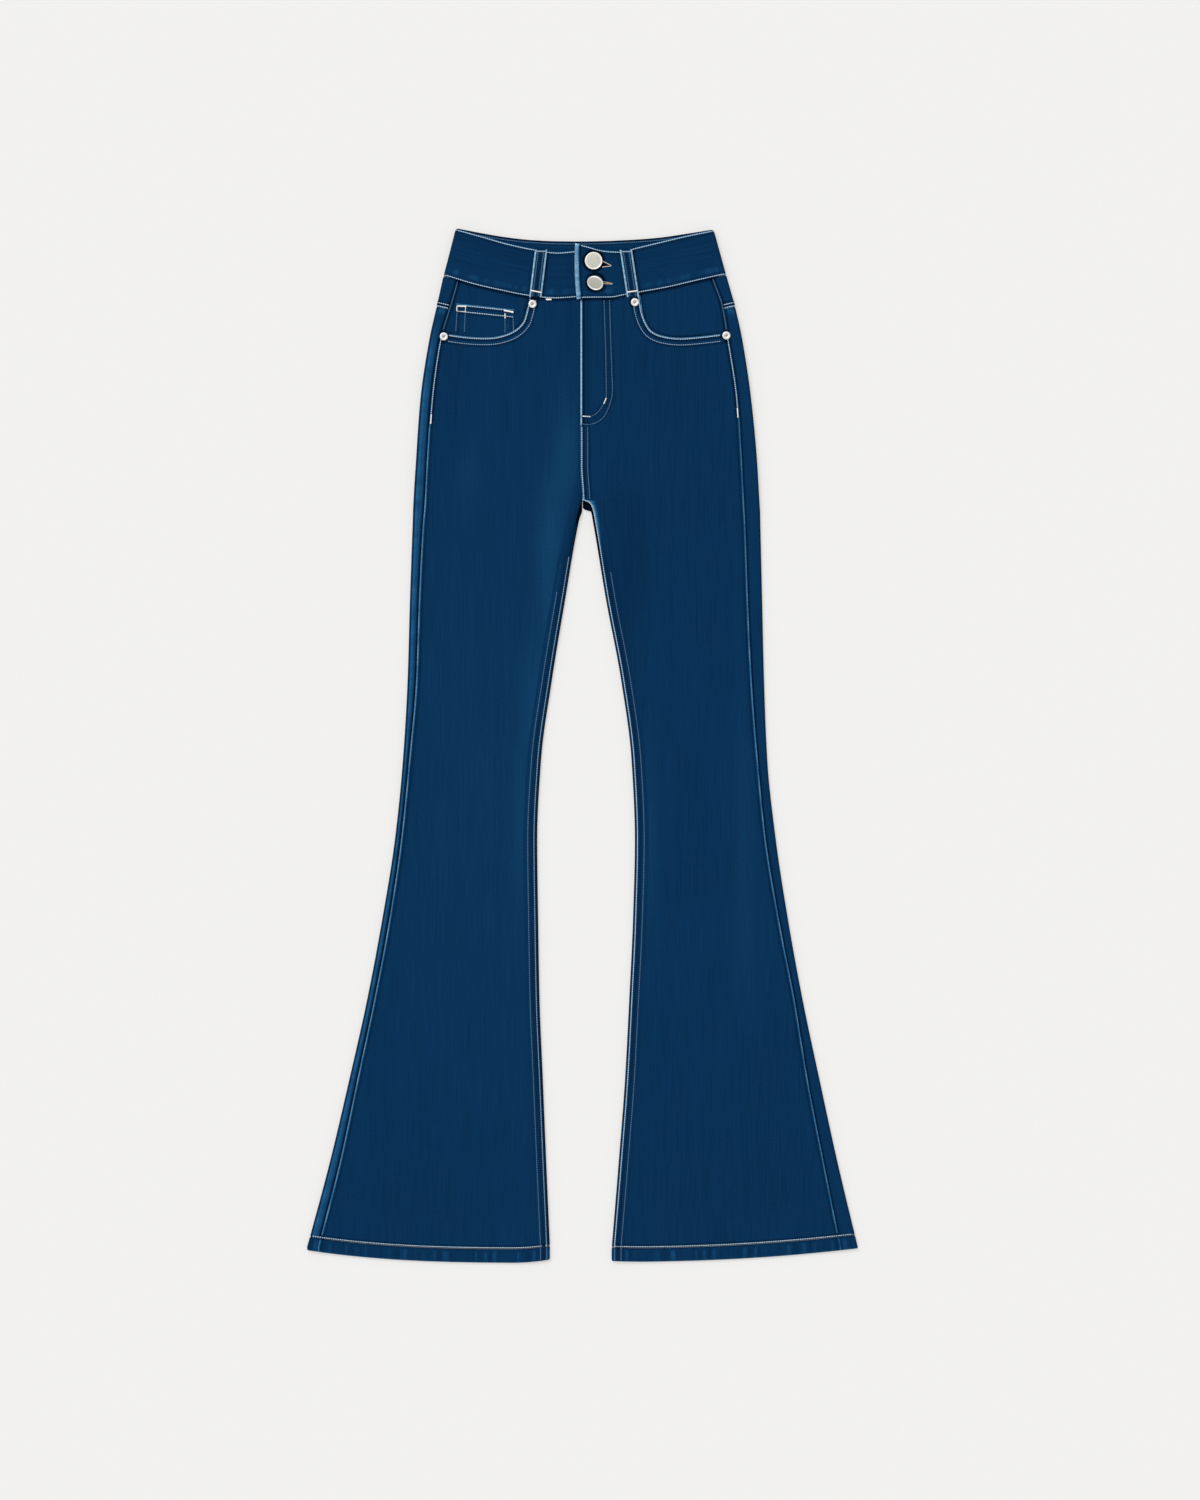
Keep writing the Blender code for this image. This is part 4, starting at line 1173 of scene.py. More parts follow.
# The hip's outseam edge is worn pale, with a line of painted shade past its row; the cloth is painted
# dark as shade along the waist seam and the pocket opening
HIP_RISE = Edge(0.00015, 0.0026, 0.0016)
HIP_MARKS = (Edge(0.22, 0.0008, 0.0012), Line(-0.80, 0.0033, 0.0012))
HIP_RIPPLE = Ripple(0.03, 0.012, 5.0)
HIP_RIPPLE_ENDS = (0.004, 0.003)
WAIST_SEAM_SHADE = Line(-0.75, 0.0008, 0.0018)
OPENING_SHADE = Line(-0.85, 0.0, 0.0019)


def hip_lie(distance, along):
    """Lift, wear and painted shade beside the edge-stitched outseam at the hip."""
    uneven = ripples(along, HIP_RIPPLE) * within(distance, *HIP_RIPPLE_ENDS)
    lift = marked(distance, HIP_RISE) + channel(distance, EDGE_ROW)
    return lift, marked(distance, *HIP_MARKS) + uneven


def facing_spot(side, across, down):
    """A spot of a facing, which lies just under the front panel."""
    top = front_top(side, across, down) - CLOTH - SEAM_GAP
    seam = outseam(side, down) - across
    waist_gap = down - front_seam(side, across)
    lift, wear = hip_lie(seam, down)
    lift += rolled(min(seam, waist_gap))
    wear += marked(waist_gap, WAIST_SEAM_SHADE)
    wear += marked(distance_to(OPENING_PATH[side], across, down), OPENING_SHADE)
    return Spot(place(side, across, down, top), OVER, lift, wear, flat_place(side, across, down))


def facing_place(side, share, row_share):
    """Across and down at a share of the way from the outseam inwards, and from the waist down."""
    inner = POCKET_CORNER[side] - FACING_UNDER
    across = blend(outseam(side, 0.0), inner, share)
    for _ in range(3):
        down = blend(front_seam(side, across) + HALF_GAP, FACING_BOTTOM, row_share)
        across = blend(outseam(side, down) - HALF_GAP, inner, share)
    return across, down


FACING_SHARES = spaced(0.0, (0.08, 0.0105), (1.0, 0.036))
FACING_ROWS = spaced(0.0, (0.06, 0.02), (1.0, 0.036))
for side in SIGN:
    grid = [[facing_spot(side, *facing_place(side, share, row_share)) for share in FACING_SHARES]
            for row_share in FACING_ROWS]
    lay_cloth(f"pocket_facing_{side}", grid, CLOTH)

COIN_WIDTH = COIN_ACROSS[0] - COIN_ACROSS[1]
COIN_DEPTH = 0.030
COIN_ROWS = (0.0015, 0.0080)
COIN_SIDE_ROWS = (0.0010, 0.0096)
COIN_HEM = Edge(0.00020, 0.0086, 0.0012)
# The coin pocket's edges are worn pale; the dark lines past its rows are painted shade
COIN_MOUTH_MARKS = (Edge(0.40, 0.0007, 0.0012), Line(-0.60, 0.0034, 0.0011),
                    Line(-0.45, 0.0100, 0.0011))
COIN_SIDE_EDGE = Edge(0.10, 0.0004, 0.0010)
COIN_SIDE_SHADE = Line(-0.35, 0.0030, 0.0011)
COIN_SIDE_BEGINS = (0.0080, 0.0100)
COIN_RIPPLE = Ripple(0.03, 0.010, 4.0)
COIN_RIPPLE_ENDS = (0.0080, 0.0020)


def coin_lie(aside, mouth, down):
    """Lift, wear and painted shade of the coin pocket by the distances from its nearer side and
    mouth.
    """
    lift = sum(channel(mouth, row) for row in COIN_ROWS)
    lift += sum(channel(aside, row) for row in COIN_SIDE_ROWS)
    lift += marked(mouth, COIN_HEM) + rolled(min(aside, mouth))
    wear = marked(mouth, *COIN_MOUTH_MARKS) + marked(aside, COIN_SIDE_EDGE)
    wear += marked(aside, COIN_SIDE_SHADE) * smooth(*COIN_SIDE_BEGINS, mouth)
    return lift, wear + ripples(down, COIN_RIPPLE) * within(min(aside, mouth), *COIN_RIPPLE_ENDS)


def coin_place(share, row_share):
    """Across and down of a place on the coin pocket, which is wider at its foot, and its mouth."""
    across = blend(*COIN_ACROSS, share) + blend(*COIN_FLARE, share) * row_share
    end = opening_down("right", across) - 2.0 * SEAM_GAP
    mouth = blend(*COIN_MOUTH, share)
    return across, blend(mouth, end, row_share), mouth


def coin_top(across, down):
    return front_top("right", across, down) - CLOTH + COIN_CLOTH


def coin_spot(share, row_share):
    across, down, mouth = coin_place(share, row_share)
    lift, wear = coin_lie(COIN_WIDTH * min(share, 1.0 - share), down - mouth, down)
    point = place("right", across, down, coin_top(across, down))
    return Spot(point, OVER, lift, wear, flat_place("right", across, down))


COIN_SHARES = spaced(0.0, (0.17, 0.017), (0.83, 0.033), (1.0, 0.017))
grid = [[coin_spot(share, row_share) for share in COIN_SHARES]
        for row_share in spaced(0.0, (1.0, 0.030))]
lay_cloth("coin_pocket", grid, COIN_CLOTH)


def coin_line(share_from, share_to, mouth_from, mouth_to):
    """A row on the coin pocket between two places, given by share and distance from its mouth."""
    row = []
    for step in range(11):
        share = blend(share_from, share_to, step / 10)
        depth = blend(mouth_from, mouth_to, step / 10)
        across, _, mouth = coin_place(share, depth / COIN_DEPTH)
        down = mouth + depth
        lift = coin_lie(COIN_WIDTH * min(share, 1.0 - share), down - mouth, down)[0]
        row.append((place("right", across, down, coin_top(across, down) + lift), OVER))
    return row


COIN_ROW_ENDS = (0.84, 0.985)
coin_mouth_rows = [coin_line(0.15, end, row, row) for row, end in zip(COIN_ROWS, COIN_ROW_ENDS)]
coin_side_rows = []
for row in COIN_SIDE_ROWS:
    share = row / COIN_WIDTH
    for column, depth in ((share, 0.0290), (1.0 - share, 0.0255)):
        coin_side_rows.append(coin_line(column, column, COIN_ROWS[1] - 0.0005, depth))

# Bar tacks hold the mouth: a hooked one at its outer end, and a heavy one at its inner end
CoinTack = namedtuple("CoinTack", "share_from share_to mouth_from mouth_to width")
COIN_TACKS = table(
    CoinTack,
    (0.022, 0.168, 0.0026, 0.0020, 0.0021),
    (0.010, 0.010, 0.0026, 0.0076, 0.0012),
    (0.010, 0.165, 0.0079, 0.0079, 0.0011),
    (0.160, 0.160, 0.0018, 0.0082, 0.0011),
    (0.829, 0.990, 0.0020, 0.0030, 0.0025),
    (0.845, 0.845, 0.0052, 0.0104, 0.0016),
)
coin_tacks = []
for tack in COIN_TACKS:
    line = coin_line(tack.share_from, tack.share_to, tack.mouth_from, tack.mouth_to)
    coin_tacks.append(Tack(line[0][0], line[-1][0], OVER, tack.width))
sew("thread_coin_mouth", pale_thread, coin_mouth_rows)
sew("thread_coin_sides", dyed_thread, coin_side_rows)
sew("tacks_coin_pocket", cream_thread, (), coin_tacks)


# ---- Front panels ----
# Each front panel is one leg and half the front.  The left one laps over the right one down to
# the crotch, with the fly's curved double row on it.  The pocket openings and the inseams are
# double-stitched, and the outseams are worn to a pale line below the hip.

LAP_EDGE = {"right": -0.0050, "left": -0.0021}
LAP_FADES = 0.250
PANEL_DROP = 0.0015
PANEL_DROP_ENDS = (0.0090, 0.0200)
PANEL_DROP_FADES = (0.284, 0.300)
SEAM_ZONE = {"right": 0.0170, "left": 0.0350}
CROTCH_ROWS_BEGIN = 0.2085
HIP_ROW_ENDS = {"right": 0.2061, "left": 0.1994}

# The rows move closer to the edge below the crotch, where they become the inseam's
InseamRows = namedtuple("InseamRows", "first second")
INSEAM_FADES = {"right": (0.335, 0.360), "left": (0.284, 0.290)}
INSEAM_ROWS = {"right": InseamRows(0.0002, 0.0068), "left": InseamRows(-0.0004, 0.0066)}

ARCH_RUBBED = (0.306, 0.362)

# At the crotch the front panels' edges part in an arch, with the back's inside behind it, painted
# dark as shade
Arch = namedtuple("Arch", "down across")
ARCHES = {
    "right": table(
        Arch,
        (0.2860, 0.0000),
        (0.2900, 0.0017),
        (0.2963, 0.0036),
        (0.3100, 0.0069),
    ),
    "left": table(
        Arch,
        (0.2865, 0.0000),
        (0.2878, 0.0014),
        (0.2896, 0.0066),
        (0.2939, 0.0104),
        (0.3001, 0.0123),
        (0.3111, 0.0143),
    ),
}

# The fly's rows as (across, down): down from the waist, then round to the lap's edge
FLY_ROWS = (
    ((0.0228, 0.0758), (0.0236, 0.1010), (0.0245, 0.1280), (0.0250, 0.1540), (0.0252, 0.1765),
     (0.0242, 0.1815), (0.0227, 0.1855), (0.0171, 0.1939), (0.0113, 0.1982), (0.0062, 0.1996),
     (0.0004, 0.1990)),
    ((0.0286, 0.0758), (0.0294, 0.1010), (0.0303, 0.1280), (0.0311, 0.1520), (0.0317, 0.1712),
     (0.0304, 0.1815), (0.0260, 0.1939), (0.0209, 0.2015), (0.0133, 0.2062), (0.0060, 0.2078),
     (0.0002, 0.2072)),
)
FLY_PATHS = [curve_through([Vector(spot) for spot in row], 4) for row in FLY_ROWS]


@cache
def front_edge(side, down):
    """Inner edge of a front panel: the lap down to the crotch, its arch, then the inseam."""
    arch = ARCHES[side]
    if down < arch[0].down:
        return LAP_EDGE[side] * (1.0 - smooth(LAP_FADES, CROTCH, down))
    if down < arch[-1].down:
        return read_table(arch, "across", down)
    return inner_fold(side, down) + INSEAM_INSET + HALF_GAP


def edge_distance(side, across, down):
    """Distance from the inner edge of a front panel, square to it."""
    run = (front_edge(side, down + 0.0004) - front_edge(side, down - 0.0004)) / 0.0008
    return (across - front_edge(side, down)) / math.hypot(1.0, run)


def panel_top(side, across, down):
    """Height of a front panel, where the right one drops to pass under the lap."""
    top = front_top(side, across, down)
    if side == "right":
        drop = 1.0 - smooth(*PANEL_DROP_ENDS, across)
        return top - PANEL_DROP * drop * (1.0 - smooth(*PANEL_DROP_FADES, down))
    return top


OPENING_MARKS = (Edge(0.10, 0.0009, 0.0010), Line(0.06, 0.0050, 0.0009))


def opening_lie(side, across, down):
    """Lift, wear and painted shade beside a front pocket opening."""
    distance = distance_to(OPENING_PATH[side], across, down)
    lift, wear = felled(distance, across + down, 1.0)
    return lift + rolled(distance), wear + marked(distance, *OPENING_MARKS)


# Below the hip the outseam is a ridge, pale on its edge by so much wear, with painted shade beside it
RIDGE_WEAR = {"right": 0.43, "left": 0.38}
RIDGE_RISE = Edge(0.00040, 0.0012, 0.0016)
RIDGE_PALE = Edge(1.0, 0.0012, 0.0011)
RIDGE_SHADE = Line(-0.42, 0.0034, 0.0012)
RIDGE_RIPPLE = Ripple(0.20, 0.041, 7.0)


def outseam_lie(side, distance, down):
    """Lift, wear and painted shade beside the outseam: stitched at the hip, then a worn ridge to the
    hem.
    """
    ends = HIP_ROW_ENDS[side]
    stitched = 1.0 - smooth(ends - 0.004, ends + 0.006, down)
    hip_lift, hip_wear_and_shading = hip_lie(distance, down)
    pale = RIDGE_WEAR[side] * (1.0 + ripples(down, RIDGE_RIPPLE)) * marked(distance, RIDGE_PALE)
    ridge_wear_and_shading = pale + marked(distance, RIDGE_SHADE)
    lift = blend(marked(distance, RIDGE_RISE), hip_lift, stitched)
    return lift, blend(ridge_wear_and_shading, hip_wear_and_shading, stitched)


# The inseam's marks: worn pale on its edge, painted shade past its first row, a faint pale line on
# and painted shade past its second row, and the pale cloth of the left panel below the arch
INSEAM_EDGE = Edge(0.34, 0.0003, 0.0008)
INSEAM_FIRST_SHADE = Line(-0.40, 0.0031, 0.0021)
INSEAM_SECOND = (Line(0.014, 0.0, 0.0012), Line(-0.12, 0.0030, 0.0011))
INSEAM_PUCKERED = Line(0.02, 0.0, 0.0012)
INSEAM_PUCKER_HALF = 0.0028
ARCH_PALE = {"right": Edge(0.0, 0.0024, 0.0030), "left": Edge(0.58, 0.0024, 0.0030)}


def inseam_lie(side, distance, down):
    """Lift, wear and painted shade beside an inseam, whose rows have worn a pale line and a dim one.
    """
    rows = INSEAM_ROWS[side]
    puckers = ripple(down, PUCKER_LENGTH, 2.0 + SIGN[side])
    lift = fell_rise(distance, *rows)
    lift += PUCKER_RISE * puckers * line_at(distance, rows.second / 2.0, INSEAM_PUCKER_HALF)
    wear = (1.0 + 0.2 * puckers) * marked(distance, INSEAM_EDGE)
    wear += marked(distance - rows.first, INSEAM_FIRST_SHADE)
    wear += marked(distance - rows.second, *INSEAM_SECOND)
    wear += puckers * marked(distance - rows.second, INSEAM_PUCKERED)
    return lift, wear + marked(distance, ARCH_PALE[side]) * (1.0 - smooth(*ARCH_RUBBED, down))


# Painted shadow of the lap on the right panel, beside the edge that passes under it
LAP_PAINTED_SHADOW = {"right": (Line(-0.35, -0.0010, 0.0060),), "left": ()}


def edge_lie(side, distance, down):
    """Lift, wear and painted shade beside a panel's inner edge: first the rows of the crotch on the
    left one.
    """
    inseam = smooth(*INSEAM_FADES[side], down)
    crotch = smooth(CROTCH_ROWS_BEGIN - 0.004, CROTCH_ROWS_BEGIN, down) * (side == "left")
    fell_lift, fell_wear_and_shading = felled(distance, down, 2.0 + SIGN[side])
    inseam_lift, inseam_wear_and_shading = inseam_lie(side, distance, down)
    wear = blend(fell_wear_and_shading * crotch, inseam_wear_and_shading, inseam)
    wear += marked(distance, *LAP_PAINTED_SHADOW[side]) * (1.0 - inseam)
    return blend(fell_lift * crotch, inseam_lift, inseam), wear


# Painted shade lies beside each row of the fly, and past the lap's worn pale edge
FLY_ROW_SHADE = Line(-0.35, 0.0017, 0.0010)
FLY_OUTER = Line(0.05, 0.0, 0.0008)
FLY_FACING = 0.00018
FLY_FACING_ENDS = ((0.0300, 0.0020), (0.2060, 0.0030))
LAP_ROW = 0.0031
LAP_MARKS = (Edge(0.92, 0.0014, 0.0009), Line(-0.90, 0.0033, 0.0010),
             Line(-0.20, 0.0075, 0.0050))


def fly_lie(across, down):
    """Lift, wear and painted shade of the fly on the left panel, over the facing behind it."""
    inner, outer = (distance_to(path, across, down) for path in FLY_PATHS)
    edge = across - front_edge("left", down)
    facing_across, facing_down = FLY_FACING_ENDS
    lift = channel(inner, 0.0) + channel(outer, 0.0) + channel(edge, LAP_ROW)
    lift += FLY_FACING * within(across, *facing_across) * within(down, *facing_down)
    wear = marked(inner, FLY_ROW_SHADE) + marked(outer, FLY_ROW_SHADE, FLY_OUTER)
    return lift, wear + marked(edge, *LAP_MARKS)


# Painted shadow darkens the cloth round each rivet
RIVET_SHADE = Line(-0.85, 0.0050, 0.0011)
RIVET_PLACES = {
    "right": ((0.0530, 0.0800), (0.1470, 0.1145)),
    "left": ((0.0556, 0.0782), (0.1525, 0.1135)),
}

# Broad patches of a leg that are a little paler or darker, with how much each adds, pale above 0
Patch = namedtuple("Patch", "side across down half_across half_down wear")
PATCHES = table(
    Patch,
    ("right", 0.110, 0.560, 0.120, 0.300, 0.013),
    ("right", 0.036, 0.400, 0.011, 0.055, 0.034),
    ("right", 0.052, 0.500, 0.011, 0.065, 0.038),
    ("right", 0.064, 0.630, 0.011, 0.095, 0.032),
    ("right", 0.122, 0.250, 0.014, 0.045, 0.018),
    ("right", 0.016, 0.235, 0.014, 0.060, 0.050),
    ("right", 0.034, 0.320, 0.014, 0.060, 0.050),
    ("right", 0.150, 0.170, 0.020, 0.060, -0.090),
    ("right", 0.190, 1.040, 0.080, 0.060, -0.040),
    ("left", 0.048, 0.370, 0.020, 0.080, -0.220),
    ("left", 0.069, 0.640, 0.011, 0.115, 0.034),
    ("left", 0.172, 0.660, 0.014, 0.220, 0.020),
    ("left", 0.110, 0.200, 0.070, 0.130, -0.090),
    ("left", 0.170, 1.030, 0.110, 0.110, -0.080),
)


def leg_tone(side, across, down):
    """Paler and darker tone of the broad patches, and painted shadow round the rivets, at a place."""
    wear = 0.0
    for patch in PATCHES:
        if patch.side == side:
            reach = ((across - patch.across) / patch.half_across) ** 2
            reach += ((down - patch.down) / patch.half_down) ** 2
            wear += patch.wear * math.exp(-reach)
    for rivet_across, rivet_down in RIVET_PLACES[side]:
        wear += marked(math.hypot(across - rivet_across, down - rivet_down), RIVET_SHADE)
    return wear


# How far from each seam the cloth shows its marks, and how the hem draws in the cloth above it,
# with painted shade along its seam
OUTSEAM_REACH = 0.012
EDGE_REACH = 0.016
WAIST_REACH = 0.012
FLY_REACH = 0.040
OPENING_REACH = (0.020, 0.140)
HEM_DIP = Line(-0.0002, 0.0008, 0.0012)
HEM_SHADE = (Line(-0.50, 0.0028, 0.0010), Line(-0.70, -0.0002, 0.0010))
HEM_RIPPLE = Ripple(0.03, 0.0125, 3.0)
HEM_RIPPLE_ENDS = (0.004, 0.010)


def front_lie(side, across, down):
    """Lift, wear and painted shade anywhere on a front panel."""
    edge = edge_distance(side, across, down)
    seam = outseam(side, down) - across
    from_corner = across - POCKET_CORNER[side]
    waist_gap = down - front_seam(side, across)
    hem_gap = hem_line(side, across) - HEM_BAND - down
    lies = [(rolled(min(seam, edge, hem_gap)), leg_tone(side, across, down))]
    if seam < OUTSEAM_REACH:
        lies.append(outseam_lie(side, seam, down))
    if edge < EDGE_REACH:
        lies.append(edge_lie(side, edge, down))
    if side == "left" and across < FLY_REACH and down < CROTCH_ROWS_BEGIN:
        lies.append(fly_lie(across, down))
    if from_corner > -OPENING_REACH[0] and down < OPENING_REACH[1]:
        lies.append(opening_lie(side, across, down))
    if waist_gap < WAIST_REACH and from_corner < 0.002:
        lies.append((rolled(waist_gap), marked(waist_gap, WAIST_SEAM_SHADE)))
    drawn_in = ripples(across, HEM_RIPPLE) * within(hem_gap, *HEM_RIPPLE_ENDS)
    lies.append((marked(hem_gap, HEM_DIP), marked(hem_gap, *HEM_SHADE) + drawn_in))
    return sum(lie[0] for lie in lies), sum(lie[1] for lie in lies)


def panel_across(side, down, column):
    """Across of a front panel's column: 0 to 1 from the outseam, 1 to 2 by the inner edge."""
    edge = front_edge(side, down)
    if column > 1.0:
        return edge + SEAM_ZONE[side] * (2.0 - column)
    return blend(outseam(side, down) - HALF_GAP, edge + SEAM_ZONE[side], column)


OPENING_SHARE = 8.0 / 12.0


def panel_top_edge(side, column):
    """Top edge of a front panel at a column: the pocket opening, then the waist seam."""
    if column <= OPENING_SHARE:
        return curve_at(OPENING[side], column / OPENING_SHARE * (len(OPENING[side]) - 1))
    corner = POCKET_CORNER[side]
    edge = front_edge(side, front_seam(side, 0.0))
    if column <= 1.0:
        share = (column - OPENING_SHARE) / (1.0 - OPENING_SHARE)
        across = blend(corner, edge + SEAM_ZONE[side], share)
    else:
        across = edge + SEAM_ZONE[side] * (2.0 - column)
    return Vector((across, front_seam(side, across) + HALF_GAP))


def front_spot(side, level, column, edge, top_level):
    """A spot of a front panel, whose column starts at an edge point on the panel's top."""
    across = outseam(side, level) - HALF_GAP
    down = level
    if level < TOP_EASES or level > HEM_EASES:
        down = ease_row(level, across, side, edge.y, top_level)
        for _ in range(2):
            across = panel_across(side, down, column)
            down = ease_row(level, across, side, edge.y, top_level)
    shift = edge.x - panel_across(side, edge.y, column)
    keep = 1.0 - smooth(top_level, TOP_EASES, level)
    across = panel_across(side, down, column) + shift * keep
    lift, wear = front_lie(side, across, down)
    point = place(side, across, down, panel_top(side, across, down))
    return Spot(point, OVER, lift, wear, flat_place(side, across, down))


for side in SIGN:
    columns = spaced(0.0, (0.052, 0.0058), (1.0, 0.0225), (2.0, 0.0012 / SEAM_ZONE[side]))
    edges = [panel_top_edge(side, column) for column in columns]
    start = edges[-1].y
    levels = spaced(start, (start + 0.0156, 0.0012), (start + 0.060, 0.0024), (0.2855, 0.0034),
                    (0.2985, 0.0009), (0.318, 0.0018), (1.070, 0.0038), (BOTTOM_LEVEL, 0.0015))
    grid = [[front_spot(side, level, column, edge, start) for column, edge in zip(columns, edges)]
            for level in levels]
    lay_cloth(f"front_panel_{side}", grid, CLOTH)


def on_front(side, across, down):
    """Point and direction of thread on a front panel."""
    lift = front_lie(side, across, down)[0]
    return place(side, across, down, panel_top(side, across, down) + lift), OVER


def seam_row(side, inset, start, end):
    """A row down a front panel beside its inner edge, or right on that edge."""
    row = []
    for down in spaced(start, (end, 0.001)):
        across = front_edge(side, down) + inset
        spot = on_front(side, across, down)
        if inset < ROLL_REACH / 2.0:
            spot = place(side, across, down, panel_top(side, across, down)), OVER
        row.append(spot)
    return row


front_edge_rows = []
front_dim_rows = []
front_dyed_rows = []
front_tacks = []
INSEAM_ROWS_BEGIN = {"right": (0.348, 0.385), "left": (0.2872, 0.364)}
for side in SIGN:
    bottom = LENGTH - HEM_BAND - 0.002
    inseam_rows = (front_edge_rows if side == "left" else front_dim_rows), front_dyed_rows
    for inset, start, rows in zip(INSEAM_ROWS[side], INSEAM_ROWS_BEGIN[side], inseam_rows):
        rows.append(seam_row(side, inset, start, bottom))
    for inset, rows in ((EDGE_ROW, front_edge_rows), (SECOND_ROW, front_dim_rows)):
        path = beside(OPENING_PATH[side], inset)
        rows.append([on_front(side, *spot) for spot in path[3:-2]])
    hip_start = OPENING[side][0].y + 0.004
    hip_end = HIP_ROW_ENDS[side]
    front_edge_rows.append([
        on_front(side, outseam(side, down) - EDGE_ROW, down)
        for down in spaced(hip_start, (hip_end, 0.006))
    ])
    facing_row = []
    for down in spaced(front_seam(side, outseam(side, 0.05)) + 0.0015, (hip_start - 0.008, 0.006)):
        spot = facing_spot(side, outseam(side, down) - EDGE_ROW, down)
        facing_row.append((spot.point + OVER * spot.lift, OVER))
    front_dyed_rows.append(facing_row)
    hip_tack = [on_front(side, outseam(side, down) - 0.0016, down)[0]
                for down in (hip_end - 0.009, hip_end + 0.001)]
    front_tacks.append(Tack(*hip_tack, OVER, TACK_WIDTH * 0.8))
CROTCH_ROW_ENDS = (CROTCH_ROWS_BEGIN + 0.002, 0.2868)
front_edge_rows.append(seam_row("left", EDGE_ROW, *CROTCH_ROW_ENDS))
front_dyed_rows.append(seam_row("left", SECOND_ROW, *CROTCH_ROW_ENDS))
for path in FLY_PATHS:
    front_dyed_rows.append([on_front("left", *spot) for spot in path])
FLY_TACKS = (((0.0252, 0.1797), (0.0226, 0.1857)), ((0.0082, 0.1995), (0.0002, 0.1990)))
for start, end in FLY_TACKS:
    ends = on_front("left", *start)[0], on_front("left", *end)[0]
    front_tacks.append(Tack(*ends, OVER, TACK_WIDTH * 0.8))
sew("thread_front_edges", pale_thread, front_edge_rows)
sew("thread_front_inner", dim_thread, front_dim_rows)
sew("thread_inseams", dyed_thread, front_dyed_rows)
sew("tacks_front", cream_thread, (), front_tacks)


# ---- Waistband ----
# One shaped strip of doubled denim from the lap round the back to the underlap, topstitched
# along both edges.  The lap's end is turned in, and has two keyhole buttonholes bound in
# golden cream thread.

BAND_CLOTH = 0.0020
BAND_TOP = SEAT_LIFT + BAND_THICKNESS
LAP_RISE = 0.0008
LAP_RISE_ENDS = (0.0315, 0.0400)
UNDERLAP_DROP = 0.0015
UNDERLAP_DROP_ENDS = (0.0100, 0.0188)
BAND_EDGE_ROW = 0.0012
BAND_SEAM_ROW = 0.0012
LAP_END_WIDTH = 0.0048
LAP_END_ROW = 0.0036
LAP_LEANS = 0.0026
INSIDE_ROW = 0.0027

# Painted shadow darkens the cloth round the buttons, by the radius of each one's shade, and beside
# the front belt loops, more so on the left of each loop
Fastener = namedtuple("Fastener", "x down shade")
TOP_BUTTON = Fastener(0.0118, 0.0344, 0.0093)
LOWER_BUTTON = Fastener(0.0138, 0.0574, 0.0084)
BUTTON_SHADE = Line(-1.1, 0.0010, 0.0017)
Loop = namedtuple("Loop", "name back top_across top_down end_across end_down tack_slant")
LOOPS = (
    Loop("belt_loop_front_right", False, -0.0438, 0.0226, -0.0500, 0.0730, 0.022),
    Loop("belt_loop_front_left", False, 0.0460, 0.0229, 0.0536, 0.0730, -0.016),
    Loop("belt_loop_back_right", True, -0.0860, 0.0092, -0.0885, 0.0625, 0.0),
    Loop("belt_loop_back_centre", True, 0.0000, 0.0136, 0.0000, 0.0675, 0.0),
    Loop("belt_loop_back_left", True, 0.0880, 0.0095, 0.0905, 0.0625, 0.0),
)
LOOP_WIDTH = 0.0130
LOOP_SHADES = {"right": Line(-0.30, 0.0010, 0.0012), "left": Line(-0.85, 0.0010, 0.0012)}

# Buttonholes: where the shank sits and where the hole ends, as distances (x, down)
Buttonhole = namedtuple("Buttonhole", "start_x end_x start_down end_down half binding")
BUTTONHOLES = (
    Buttonhole(0.0150, 0.0303, 0.0378, 0.0395, 0.0030, 0.0009),
    Buttonhole(0.0150, 0.0316, 0.0574, 0.0587, 0.0009, 0.0006),
)


def band_height(side, across):
    """Top of the front waistband: the left end rises over the lap, the right end drops."""
    if side == "left":
        return BAND_TOP + LAP_RISE * (1.0 - smooth(*LAP_RISE_ENDS, across))
    return BAND_TOP - UNDERLAP_DROP * (1.0 - smooth(*UNDERLAP_DROP_ENDS, across))


Station = namedtuple("Station", "side place_on along")


def band_stations():
    """Places along the band: "front", "back" or the angle of a point on the side fold."""
    angles = [math.pi * step / 8 for step in range(1, 8)]
    fronts = {"left": spaced(1.060, (0.76, 0.0066), (0.0, 0.0140)),
              "right": spaced(0.0, (1.215, 0.0150))}
    backs = spaced(0.0, (1.0, 0.0180))
    stations = [Station("left", "front", along) for along in fronts["left"]]
    stations += [Station("left", angle, 0.0) for angle in reversed(angles)]
    stations += [Station("left", "back", along) for along in backs[:-1]]
    stations += [Station("right", "back", along) for along in reversed(backs)]
    stations += [Station("right", angle, 0.0) for angle in angles]
    stations += [Station("right", "front", along) for along in fronts["right"]]
    return stations


